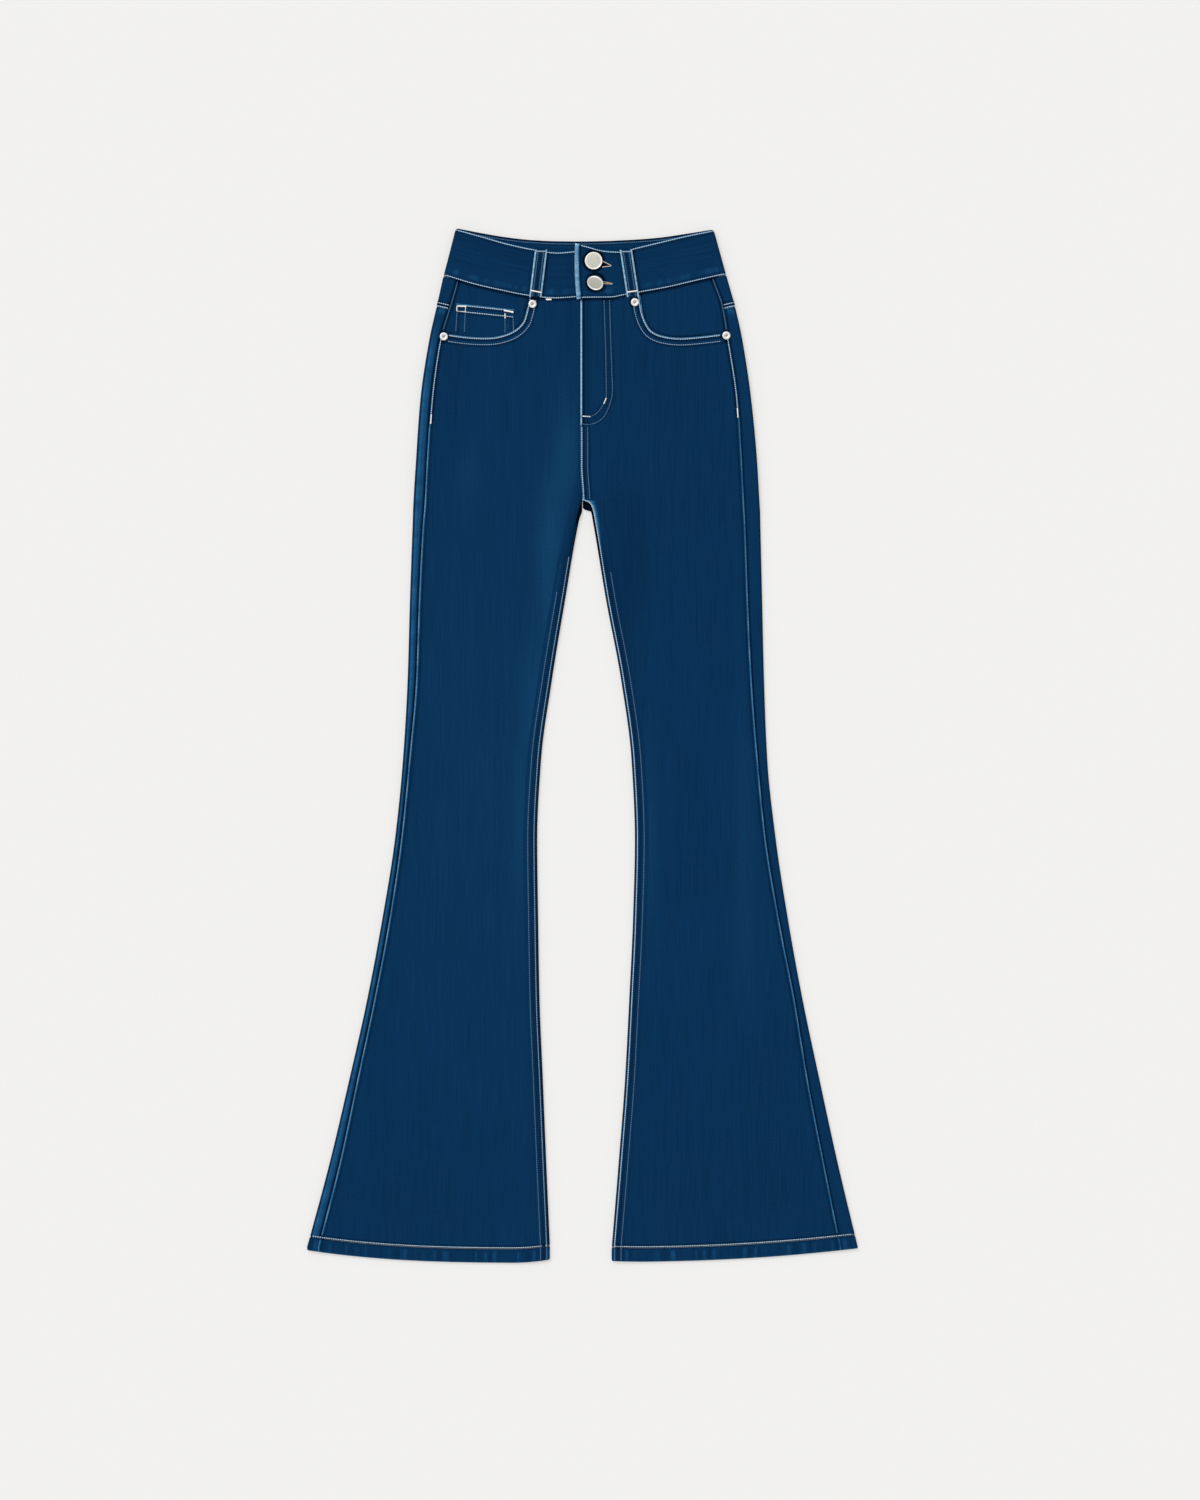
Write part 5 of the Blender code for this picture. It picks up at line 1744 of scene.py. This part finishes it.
def band_cloth(station, share):
    """Point, direction and across of the waistband at a share of its height from the top."""
    side, place_on, along = station
    radius = BAND_THICKNESS / 2.0
    fold = blend(BAND_FOLD_TOP[side], BAND_FOLD_SEAM[side], share)
    tangent = fold - radius
    across = tangent * (1.0 - along)
    back_end = back_band_bottom(side, along) - HALF_GAP
    back_down = blend(waist(side, "back_top", along), back_end, share)
    seam = waist(side, "front_seam", along) - HALF_GAP
    front_down = blend(waist(side, "front_top", along), seam, share)
    if place_on == "front":
        if side == "left":
            lean = 0.0004 + LAP_LEANS * share * (2.0 * share - 1.0)
            across += lean * smooth(0.90, 1.06, along)
        return Cloth(place(side, across, front_down, band_height(side, across)), OVER, across)
    if place_on == "back":
        return Cloth(place(side, across, back_down, SEAT_LIFT), UNDER, across)
    down = blend(back_down, front_down, place_on / math.pi)
    out = Vector((SIGN[side] * math.sin(place_on), 0.0, -math.cos(place_on)))
    middle = place(side, tangent, down, SEAT_LIFT + radius)
    return Cloth(middle + out * radius, out, across)


def hole_depth(x, down):
    """1 in the slit of a buttonhole, 0 away from it."""
    deepest = 0.0
    for hole in BUTTONHOLES:
        share = (x - hole.start_x) / (hole.end_x - hole.start_x)
        if 0.0 < share < 1.0:
            half = hole.half * (1.0 - share)
            aside = abs(down - blend(hole.start_down, hole.end_down, share))
            deepest = max(deepest, within(aside, half, 0.0007))
    return deepest


def band_shade(x, down):
    """Painted shadow beside the belt loops and round the buttons, which is below 0."""
    wear = 0.0
    for button in (TOP_BUTTON, LOWER_BUTTON):
        from_rim = math.hypot(x - button.x, down - button.down) - button.shade
        wear += marked(from_rim, BUTTON_SHADE)
    for loop in LOOPS:
        if not loop.back:
            share = (down - loop.top_down) / (loop.end_down - loop.top_down)
            aside = x - blend(loop.top_across, loop.end_across, share)
            shade = LOOP_SHADES["left" if aside > 0.0 else "right"]
            wear += marked(abs(aside) - LOOP_WIDTH / 2.0, shade)
    return wear


# Marks along the band's top edge and its lower seam, with puckers beside both rows.  The edges
# are worn pale; the dark lines past the rows and in the seam, the side folds and the top edge of
# the back's inside are painted dark as shade; the front is a little darker, most of all towards its
# top edge
BAND_EDGE = Edge(0.32, 0.0011, 0.0010)
BAND_EDGE_SHADE = Line(-0.35, 0.0034, 0.0010)
BAND_SEAM = (Edge(0.24, 0.0014, 0.0008), Line(-0.30, 0.0032, 0.0008), Line(-0.80, 0.0, 0.0007))
BAND_RUBBED = Line(0.085, 0.0072, 0.0042)
BAND_RIPPLES = (Ripple(0.5, 0.023, 2.0), Ripple(0.4, 0.0085, 4.0))
SEAM_RIPPLE = Ripple(0.00020, 0.0105, 1.0)
SEAM_PUCKERS = Line(1.0, 0.0062, 0.0034)
TOP_RIPPLE = Ripple(0.00014, 0.0090, 6.0)
TOP_PUCKERS = Line(1.0, 0.0050, 0.0022)
BAND_FOLD_SHADE = Line(0.6 * FOLD_PAINTED_SHADE, math.pi / 2.0, 1.0)
FRONT_TONE = -0.03
FRONT_TOP_TONE = Edge(-0.08, 0.006, 0.022)
BACK_TOP_SHADE = Edge(-1.2, 0.0012, 0.0006)

# Marks on the lap's end, which is worn almost white with a line of painted shade beyond it, and
# in the slits of its buttonholes, which are painted dark as shade
ON_LAP_END = Edge(1.0, LAP_END_WIDTH - 0.0006, 0.0010)
LAP_END_WEAR = 0.68
LAP_END_RISE = 0.00025
LAP_END_RIPPLE = Ripple(0.12, 0.011, 3.0)
LAP_END_SHADE = Line(-0.75, LAP_END_WIDTH + 0.0012, 0.0010)
LAP_END_DOTS = Line(-0.45, LAP_END_ROW, 0.0006)
SLIT_SHADE = -1.4
SLIT_DEPTH = 0.0012


def lap_end_lie(cloth, travelled):
    """Lift, wear and painted shade of the lap's end and its buttonholes."""
    on_end = marked(travelled, ON_LAP_END)
    slit = hole_depth(cloth.point.x, LENGTH / 2.0 - cloth.point.y)
    dots = max(0.0, math.sin(math.tau * cloth.point.y / STITCH))
    wear = LAP_END_WEAR * on_end * (1.0 + ripples(cloth.point.y, LAP_END_RIPPLE))
    wear += marked(travelled, LAP_END_SHADE) + dots * marked(travelled, LAP_END_DOTS)
    lift = LAP_END_RISE * on_end + channel(travelled, LAP_END_ROW) - SLIT_DEPTH * slit
    return lift, wear + SLIT_SHADE * slit


def band_lie(station, cloth, travelled, top_gap, seam_gap):
    """Lift, wear and painted shade of the waistband by the distances from its edges."""
    lift = rolled(min(top_gap, seam_gap, travelled))
    lift += channel(top_gap, BAND_EDGE_ROW) + channel(seam_gap, BAND_SEAM_ROW)
    lift += ripples(travelled, SEAM_RIPPLE) * marked(seam_gap, SEAM_PUCKERS)
    lift += ripples(travelled, TOP_RIPPLE) * marked(top_gap, TOP_PUCKERS)
    wear = marked(top_gap, BAND_EDGE) + marked(seam_gap, *BAND_SEAM)
    wear += marked(top_gap, BAND_EDGE_SHADE) * (1.0 - marked(travelled, ON_LAP_END))
    uneven = 0.7 + ripples(travelled, *BAND_RIPPLES)
    wear += max(0.0, uneven) * marked(seam_gap, BAND_RUBBED)
    if station.place_on == "front":
        wear += band_shade(cloth.point.x, LENGTH / 2.0 - cloth.point.y)
        wear += FRONT_TONE + marked(top_gap, FRONT_TOP_TONE)
        if station.side == "left":
            end_lift, end_wear_and_shading = lap_end_lie(cloth, travelled)
            lift += end_lift
            wear += end_wear_and_shading
    else:
        wear += marked(top_gap, BACK_TOP_SHADE)
        if station.place_on != "back":
            wear += marked(station.place_on, BAND_FOLD_SHADE)
    return lift, wear


def distances(points):
    """Distance along a path to each of its points."""
    walked = [0.0]
    for before, after in zip(points, points[1:]):
        walked.append(walked[-1] + (after - before).length)
    return walked


def band_depth(station):
    return (band_cloth(station, 1.0).point - band_cloth(station, 0.0).point).length


BAND_STATIONS = band_stations()
BAND_TRAVEL = distances([band_cloth(station, 0.5).point for station in BAND_STATIONS])
BAND_SHARES = spaced(0.0, (0.12, 0.020), (0.80, 0.021), (1.0, 0.018))


def band_spot(station, travelled, share):
    cloth = band_cloth(station, share)
    height = band_depth(station)
    lift, wear = band_lie(station, cloth, travelled, height * share, height * (1.0 - share))
    return Spot(cloth.point, cloth.out, lift, wear, (-height * share, travelled))


band_stops = list(zip(BAND_STATIONS, BAND_TRAVEL))
band_grid = [[band_spot(*stop, share) for stop in band_stops] for share in BAND_SHARES]
lay_cloth("waistband", band_grid, BAND_CLOTH)


def band_row(inset, from_seam, start, end):
    """A row along the waistband between two distances from the lap's end."""
    row = []
    for station, travelled in band_stops:
        if start <= travelled <= end:
            share = inset / band_depth(station)
            share = 1.0 - share if from_seam else share
            spot = band_spot(station, travelled, share)
            row.append((spot.point + spot.out * spot.lift, spot.out))
    return row


def inside_row(inset):
    """The same top row where it shows on the inside of the back of the band."""
    row = []
    for station in BAND_STATIONS:
        if station.place_on == "back":
            point = band_cloth(station, inset / BACK_BAND_HEIGHT).point
            row.append((point + OVER * BAND_CLOTH, OVER))
    return row


band_end = BAND_TRAVEL[-1]
band_rows = [
    band_row(BAND_EDGE_ROW, False, LAP_END_WIDTH + 0.001, band_end),
    band_row(BAND_SEAM_ROW, True, LAP_END_WIDTH, band_end),
]
band_tack = [place("right", across, 0.0752, BAND_TOP - 0.0008) for across in (0.0387, 0.0330)]
sew("thread_waistband", pale_thread, band_rows)
sew("thread_band_inside", dyed_thread, [inside_row(INSIDE_ROW)])
sew("tack_waistband", cream_thread, (), [Tack(*band_tack, OVER, TACK_WIDTH * 1.35)])

BUTTONHOLE_GOLD = (0.72, 0.64, 0.49, 1.0)
buttonhole_thread = thread_finish("buttonhole thread", BUTTONHOLE_GOLD)


def buttonhole_sides(hole):
    """Bound edges of a buttonhole, as bar tacks that close at its end."""
    tacks = []
    top = band_height("left", hole.end_x)
    for way in (-1.0, 1.0):
        start = place("left", hole.start_x + 0.006, hole.start_down + way * (hole.half + 0.0002), top)
        end = place("left", hole.end_x, hole.end_down + way * 0.0003, top)
        tacks.append(Tack(start, end, OVER, hole.binding))
    return tacks


hole_tacks = [tack for hole in BUTTONHOLES for tack in buttonhole_sides(hole)]
sew("thread_buttonholes", buttonhole_thread, (), hole_tacks)


# ---- Belt loops ----
# Five narrow strips of folded denim with a dyed row of thread along each side, bar-tacked in
# cream to the waistband at both ends.  Their folded edges are worn pale.

LOOP_CLOTH = 0.0014
LOOP_BOW = 0.0011
LOOP_ROW = 0.0030
LOOP_PUCKER_LENGTH = 0.0080
LOOP_PUCKERS = Edge(0.00012, 0.002, 0.002)
# A belt loop's folded edges are worn pale, with a line of painted shade beside each row
LOOP_EDGE = Edge(0.84, 0.0013, 0.0009)
LOOP_EDGE_SHADE = Line(-0.60, 0.0030, 0.0008)
LOOP_MIDDLE = Line(-0.50, 0.0, 0.0018)


def loop_spot(loop, share, aside):
    """A spot on a loop, aside in metres from its middle."""
    across = blend(loop.top_across, loop.end_across, share) + aside
    down = blend(loop.top_down, loop.end_down, share)
    side_gap = LOOP_WIDTH / 2.0 - abs(aside)
    length = loop.end_down - loop.top_down
    end_gap = length * min(share, 1.0 - share)
    lift = rolled(min(side_gap, end_gap)) + channel(abs(aside), LOOP_ROW)
    puckers = ripple(down, LOOP_PUCKER_LENGTH, loop.top_across * 90.0)
    lift += puckers * marked(side_gap, LOOP_PUCKERS)
    wear = (1.0 + 0.15 * puckers) * marked(side_gap, LOOP_EDGE)
    wear += marked(side_gap, LOOP_EDGE_SHADE) + marked(aside, LOOP_MIDDLE)
    grain = (aside, -down)
    if loop.back:
        point = place("left", across, down, 0.0)
        return Spot(point, UNDER, min(0.0, lift + channel(abs(aside), LOOP_ROW)), wear, grain)
    bow = LOOP_BOW * math.sin(math.pi * share) ** 2
    height = BAND_TOP + SEAM_GAP + bow + LOOP_CLOTH
    return Spot(place("left", across, down, height), OVER, lift, wear, grain)


LOOP_ASIDES = spaced(-LOOP_WIDTH / 2.0, (LOOP_WIDTH / 2.0, 0.00072))
LOOP_SHARES = spaced(0.0, (0.05, 0.0125), (0.95, 0.0300), (1.0, 0.0125))
LoopTack = namedtuple("LoopTack", "share reach slants")
LOOP_TACKS = (LoopTack(0.035, 0.36, 0.0), LoopTack(0.878, 0.44, 1.0))
loop_rows = []
loop_tacks = {tack: [] for tack in LOOP_TACKS}
for loop in LOOPS:
    grid = [[loop_spot(loop, share, aside) for aside in LOOP_ASIDES] for share in LOOP_SHARES]
    thickness = SEAT_LIFT - SEAM_GAP if loop.back else LOOP_CLOTH
    lay_cloth(loop.name, grid, thickness)
    for aside in (-LOOP_ROW, LOOP_ROW):
        row = []
        for share in spaced(0.02, (0.98, 0.04)):
            spot = loop_spot(loop, share, aside)
            sink = PRESSED if loop.back else -spot.lift
            row.append((spot.point - spot.out * sink, spot.out))
        loop_rows.append(row)
    for tack in LOOP_TACKS:
        ends = []
        for way in (-1.0, 1.0):
            share = tack.share + way * tack.slants * loop.tack_slant
            spot = loop_spot(loop, share, way * tack.reach * LOOP_WIDTH)
            ends.append(spot.point - spot.out * (PRESSED if loop.back else 0.0))
        loop_tacks[tack].append(Tack(*ends, spot.out, TACK_WIDTH * 0.9))
sew("thread_belt_loops", dyed_thread, loop_rows)
sew("tacks_loop_tops", dim_thread, (), loop_tacks[LOOP_TACKS[0]])
sew("tacks_loop_ends", cream_thread, (), loop_tacks[LOOP_TACKS[1]])


# ---- Hems ----
# The bottom of each leg is turned up twice and sewn all round with one row, which puckers it:
# the puckers have worn to pale upright bars, with painted shade in the hollows between them and a
# line of painted shade along the hem's top edge.

HEM_CLOTH = 0.0018
HEM_ROW = 0.0159
HEM_ROW_SINK = 0.0003
HEM_FRONT = spaced(0.0, (0.04, 0.0068), (0.955, 0.0080), (1.0, 0.0060))
HEM_BACK = spaced(0.0, (1.0, 0.34), (2.0, 0.125), (3.0, 0.0085), (4.0, 0.125), (5.0, 0.12))
HemStop = namedtuple("HemStop", "panel column")
HEM_STOPS = [HemStop("back", column) for column in HEM_BACK]
HEM_STOPS += [HemStop("front", share) for share in HEM_FRONT]
HEM_PUCKERS = {
    "right": (Ripple(1.0, 0.0125, 1.0), Ripple(0.5, 0.0068, 5.0)),
    "left": (Ripple(1.0, 0.0125, 3.0), Ripple(0.5, 0.0068, 5.0)),
}
HEM_PUCKER_RISE = Line(0.00028, 0.0070, 0.0060)
HEM_BARS = Line(0.10, 0.0070, 0.0075)
HEM_HOLLOW_SHADE = Line(-0.22, 0.0070, 0.0060)
HEM_EDGES = (Edge(0.10, 0.0006, 0.0012), Line(-0.50, HEM_BAND, 0.0014))
HEM_TONE = -0.02
LIES_FLAT = -0.999


def hem_cloth(side, stop, down):
    if stop.panel == "back":
        return back_cloth(side, down, stop.column)
    outer = outseam(side, down) - HALF_GAP
    across = blend(outer, front_edge(side, down), stop.column)
    return Cloth(on_front_layer(side, across, down), OVER, across)


def hem_place(side, stop, above):
    """Cloth of a leg at a stop round it, at a height above the bottom edge."""
    down = LENGTH - above
    for _ in range(ROUNDS):
        across = abs(hem_cloth(side, stop, down).point.x)
        down = hem_line(side, across) - above
    return hem_cloth(side, stop, down), down


def hem_lie(side, stop, cloth, down, travelled, above):
    """Lift, wear and painted shade of the hem by the distance round it and above its bottom edge."""
    puckers = ripples(travelled, *HEM_PUCKERS[side])
    lift = rolled(min(above, HEM_BAND - above)) + puckers * marked(above, HEM_PUCKER_RISE)
    wear = HEM_TONE + marked(above, *HEM_EDGES)
    wear += max(0.0, puckers) * marked(above, HEM_BARS)
    wear += max(0.0, -puckers) * marked(above, HEM_HOLLOW_SHADE)
    if stop.panel == "front":
        seam = outseam(side, down) - cloth.across
        edge = cloth.across - front_edge(side, down)
        seam_lift, seam_wear_and_shading = outseam_lie(side, seam, down)
        inseam_lift, inseam_wear_and_shading = inseam_lie(side, edge, down)
        wear += seam_wear_and_shading * (seam < OUTSEAM_REACH) + inseam_wear_and_shading * (edge < EDGE_REACH)
        lift += seam_lift + inseam_lift
    elif cloth.out.z < LIES_FLAT:
        lift = min(0.0, lift - HEM_PUCKER_RISE.size)
    return lift, wear


def hem_spot(side, stop, travelled, above):
    cloth, down = hem_place(side, stop, above)
    lift, wear = hem_lie(side, stop, cloth, down, travelled, above)
    return Spot(cloth.point, cloth.out, lift, wear, (travelled, -down))


HEM_LEVELS = spaced(0.0, (HEM_BAND - HALF_GAP, 0.00115))[::-1]
hem_rows = []
hem_seam_rows = []
for side in SIGN:
    travelled = distances([hem_place(side, stop, HEM_BAND / 2.0)[0].point for stop in HEM_STOPS])
    grid = [[hem_spot(side, *stop, above) for stop in zip(HEM_STOPS, travelled)]
            for above in HEM_LEVELS]
    lay_cloth(f"hem_{side}", grid, HEM_CLOTH, ring=True)
    row = []
    for stop in HEM_STOPS + HEM_STOPS[:1]:
        cloth = hem_place(side, stop, HEM_ROW)[0]
        sink = PRESSED if cloth.out.z < LIES_FLAT else HEM_ROW_SINK
        row.append((cloth.point - cloth.out * sink, cloth.out))
    hem_rows.append(row)
    for inset in INSEAM_ROWS[side]:
        short = []
        for above in spaced(HEM_ROW - 0.001, (0.001, 0.002)):
            down = LENGTH - above
            across = front_edge(side, down) + inset
            down = hem_line(side, across) - above
            short.append((on_front_layer(side, across, down), OVER))
        hem_seam_rows.append(short)
sew("thread_hems", pale_thread, hem_rows)
sew("thread_hem_seams", dyed_thread, hem_seam_rows)


# ---- Buttons ----
# Two shank buttons with a pale satin face inside a bright raised rim.  Both stand fastened in
# the lap; the lower one leans on its shank.

LAP_TOP = BAND_TOP + LAP_RISE
TOP_RADIUS = 0.0093
LOWER_RADIUS = 0.0088
BUTTON_HEIGHT = 0.0026
BUTTON_RIM = 0.0016
BUTTON_DISH = 0.0006
SHANK_RADIUS = 0.0015
LOWER_LEAN = math.radians(40.0)
LOWER_STANDS = LOWER_RADIUS * math.sin(LOWER_LEAN)
LEAN_AXIS = Vector((1.0, -0.4, 0.0))
BUTTON_SEAT = LAP_TOP + SEAM_GAP
BUTTON_SIDES = 96
Turned = namedtuple("Turned", "node x down seat radius lean")
BUTTONS = (
    Turned("button_top", *TOP_BUTTON[:2], BUTTON_SEAT, TOP_RADIUS, 0.0),
    Turned("button_lower", *LOWER_BUTTON[:2], BUTTON_SEAT + LOWER_STANDS, LOWER_RADIUS, LOWER_LEAN),
)


def metal_finish(name, colour, metallic, roughness, spot_size, bump):
    """Satin metal: cloudy in colour and gloss, with the fine grain of tumbling."""
    finish, tree, shader = new_finish(name)
    coordinates = tree.nodes.new("ShaderNodeTexCoord")
    grain = speckle(tree, coordinates.outputs["Object"], spot_size, spot_size, 4.0)
    cloud = speckle(tree, coordinates.outputs["Object"], 0.004, 0.004)
    tone = layered(tree, 0.84, (grain, 0.16), (cloud, 0.14))
    satin = mix_colour(tree, colour, tone, 1.0, "MULTIPLY")
    rough = layered(tree, roughness, (cloud, 0.14))
    raise_surface(tree, shader, grain, bump, 0.5)
    dress(tree, shader, {"Base Color": satin, "Roughness": rough, "Metallic": metallic})
    return finish


button_face = metal_finish("button face", (0.56, 0.545, 0.475, 1.0), 0.0, 0.42, 0.0004, 0.00006)
button_rim = metal_finish("button rim", (0.97, 0.96, 0.92, 1.0), 0.3, 0.30, 0.0006, 0.00003)


def turned_mesh(name, profile, sides, finishes):
    """A mesh turned about Z from (radius, height, finish) rows, the first and last on the axis."""
    points = [Vector((0.0, 0.0, profile[0].height))]
    for row in profile[1:-1]:
        for side in range(sides):
            angle = math.tau * side / sides
            reach = Vector((math.cos(angle), math.sin(angle), 0.0)) * row.radius
            points.append(reach + Vector((0.0, 0.0, row.height)))
    points.append(Vector((0.0, 0.0, profile[-1].height)))
    faces = []
    shown = []
    last = len(points) - 1
    for side in range(sides):
        after = (side + 1) % sides
        faces.append((0, 1 + after, 1 + side))
        shown.append(profile[0].finish)
        for ring in range(len(profile) - 3):
            low = 1 + ring * sides
            high = low + sides
            faces.append((low + side, low + after, high + after, high + side))
            shown.append(profile[ring + 1].finish)
        faces.append((last, last - sides + side, last - sides + after))
        shown.append(profile[-2].finish)
    mesh = new_mesh(name, points, faces, *finishes)
    mesh.polygons.foreach_set("material_index", shown)
    mesh.set_sharp_from_angle(angle=math.radians(48.0))
    return mesh


Lathe = namedtuple("Lathe", "radius height finish")


def put_turned(turned, mesh):
    """A turned piece in its place, leaning as it does there."""
    centre = Vector((turned.x, LENGTH / 2.0 - turned.down, turned.seat))
    lean = Matrix.Rotation(turned.lean, 4, LEAN_AXIS)
    add_piece(f"{turned.node}_fine", mesh, turned.node, Matrix.Translation(centre) @ lean)


def button_profile(across, shank):
    """A button of a radius from the foot of its shank, round the rim, to the middle of its face."""
    face = BUTTON_HEIGHT - BUTTON_DISH
    rows = [
        Lathe(0.0, -shank, 1),
        Lathe(SHANK_RADIUS, -shank, 1),
        Lathe(SHANK_RADIUS, 0.0, 1),
        Lathe(across * 0.80, 0.0, 1),
        Lathe(across * 0.93, BUTTON_HEIGHT * 0.10, 1),
    ]
    inner = across - BUTTON_RIM
    for step in range(9):
        angle = math.radians(blend(-30.0, 165.0, step / 8))
        radius = inner + BUTTON_RIM / 2.0 * (1.0 + math.cos(angle))
        rows.append(Lathe(radius, BUTTON_HEIGHT * (0.55 + 0.45 * math.sin(angle)), 1))
    rows.append(Lathe(inner - 0.0001, face - 0.00015, 0))
    rows.append(Lathe(inner - 0.0005, face, 0))
    rows.append(Lathe(across * 0.45, face + BUTTON_DISH * 0.4, 0))
    rows.append(Lathe(0.0, face + BUTTON_DISH * 0.5, 0))
    return rows


UNDERLAP_TOP = BAND_TOP - UNDERLAP_DROP
for turned in BUTTONS:
    clear = SEAM_GAP + SHANK_RADIUS * math.sin(turned.lean)
    shank = (turned.seat - UNDERLAP_TOP - clear) / math.cos(turned.lean)
    profile = button_profile(turned.radius, shank)
    mesh = turned_mesh(turned.node, profile, BUTTON_SIDES, (button_face, button_rim))
    put_turned(turned, mesh)


# ---- Rivets ----
# Four bright domed rivets hammered through the corners of the front pockets, each with the
# grey tip of its nail in the middle.

RIVET_RADIUS = 0.0043
RIVET_HEIGHT = 0.0012
RIVET_SIDES = 64
RIVET_MIDDLE = ((0.40, 0.78, 0), (0.32, 0.55, 1), (0.24, 0.62, 1), (0.14, 0.95, 1), (0.0, 1.0, 1))
RIVET_SEAT = SEAT_LIFT + SEAT_THICKNESS + SEAM_GAP
rivet_cap = metal_finish("rivet cap", (0.72, 0.715, 0.695, 1.0), 0.6, 0.36, 0.0006, 0.00004)
rivet_nail = metal_finish("rivet nail", (0.36, 0.35, 0.33, 1.0), 1.0, 0.45, 0.0004, 0.00005)


def rivet_profile():
    rows = [Lathe(0.0, 0.0, 0), Lathe(RIVET_RADIUS * 0.96, 0.0, 0)]
    for step in range(7):
        angle = math.radians(blend(-20.0, 90.0, step / 6))
        radius = RIVET_RADIUS * (0.72 + 0.28 * math.cos(angle))
        rows.append(Lathe(radius, RIVET_HEIGHT * (0.42 + 0.42 * math.sin(angle)), 0))
    for across, height, finish in RIVET_MIDDLE:
        rows.append(Lathe(RIVET_RADIUS * across, RIVET_HEIGHT * height, finish))
    return rows


for side in SIGN:
    for spot, (across, down) in zip(("inner", "outer"), RIVET_PLACES[side]):
        name = f"rivet_{side}_{spot}"
        rivet = Turned(name, SIGN[side] * across, down, RIVET_SEAT, RIVET_RADIUS, 0.0)
        mesh = turned_mesh(name, rivet_profile(), RIVET_SIDES, (rivet_cap, rivet_nail))
        put_turned(rivet, mesh)


# ---- Floor, light and camera ----
# The jeans lie on a plain pale floor, lit from within so that they cast hardly any shadow, in
# soft, even light from above and a little from the upper left.  The camera looks straight down.

FLOOR_HALF = 6.0
FLOOR_BELOW = 0.0002
FLOOR_PALE = (0.427, 0.425, 0.418, 1.0)
FLOOR_GLOW = (0.444, 0.440, 0.432, 1.0)

floor_finish, floor_tree, floor_shader = new_finish("pale floor")
dress(floor_tree, floor_shader, {
    "Base Color": FLOOR_PALE,
    "Emission Color": FLOOR_GLOW,
    "Emission Strength": 1.0,
    "Roughness": 0.9,
    "Specular IOR Level": 0.1,
})
corners = ((-1, -1), (1, -1), (1, 1), (-1, 1))
floor_points = [(x * FLOOR_HALF, y * FLOOR_HALF, -FLOOR_BELOW) for x, y in corners]
floor_mesh = new_mesh("floor", floor_points, [(0, 1, 2, 3)], floor_finish)
floor = new_object("floor", floor_mesh)

SKY_STRENGTH = 0.62
SUN_STRENGTH = 1.55
SUN_SPREAD = math.radians(38.0)
SUN_FROM = Vector((-0.55, 0.65, 1.35))

world = bpy.data.worlds.new("studio")
world.use_nodes = True
sky = world.node_tree.nodes["Background"]
dress(world.node_tree, sky, {"Color": (1.0, 1.0, 1.0, 1.0), "Strength": SKY_STRENGTH})
bpy.context.scene.world = world

sun_data = bpy.data.lights.new("softbox", "SUN")
sun_data.energy = SUN_STRENGTH
sun_data.angle = SUN_SPREAD
sun = new_object("softbox", sun_data)
sun.rotation_mode = "QUATERNION"
sun.rotation_quaternion = SUN_FROM.to_track_quat("Z", "Y")

VIEW_HEIGHT = 1.590
VIEW_X = 0.01855
VIEW_Y = -0.0045
LENS = 200.0
SENSOR = 36.0
GARMENT_TOP = 0.006

camera_data = bpy.data.cameras.new("camera")
camera_data.lens = LENS
camera_data.sensor_fit = "VERTICAL"
camera_data.sensor_height = SENSOR
camera_data.clip_end = 50.0
camera = new_object("camera", camera_data)
camera.location = (VIEW_X, VIEW_Y, GARMENT_TOP + VIEW_HEIGHT * LENS / SENSOR)
bpy.context.scene.camera = camera
bpy.context.scene.view_settings.view_transform = "Standard"
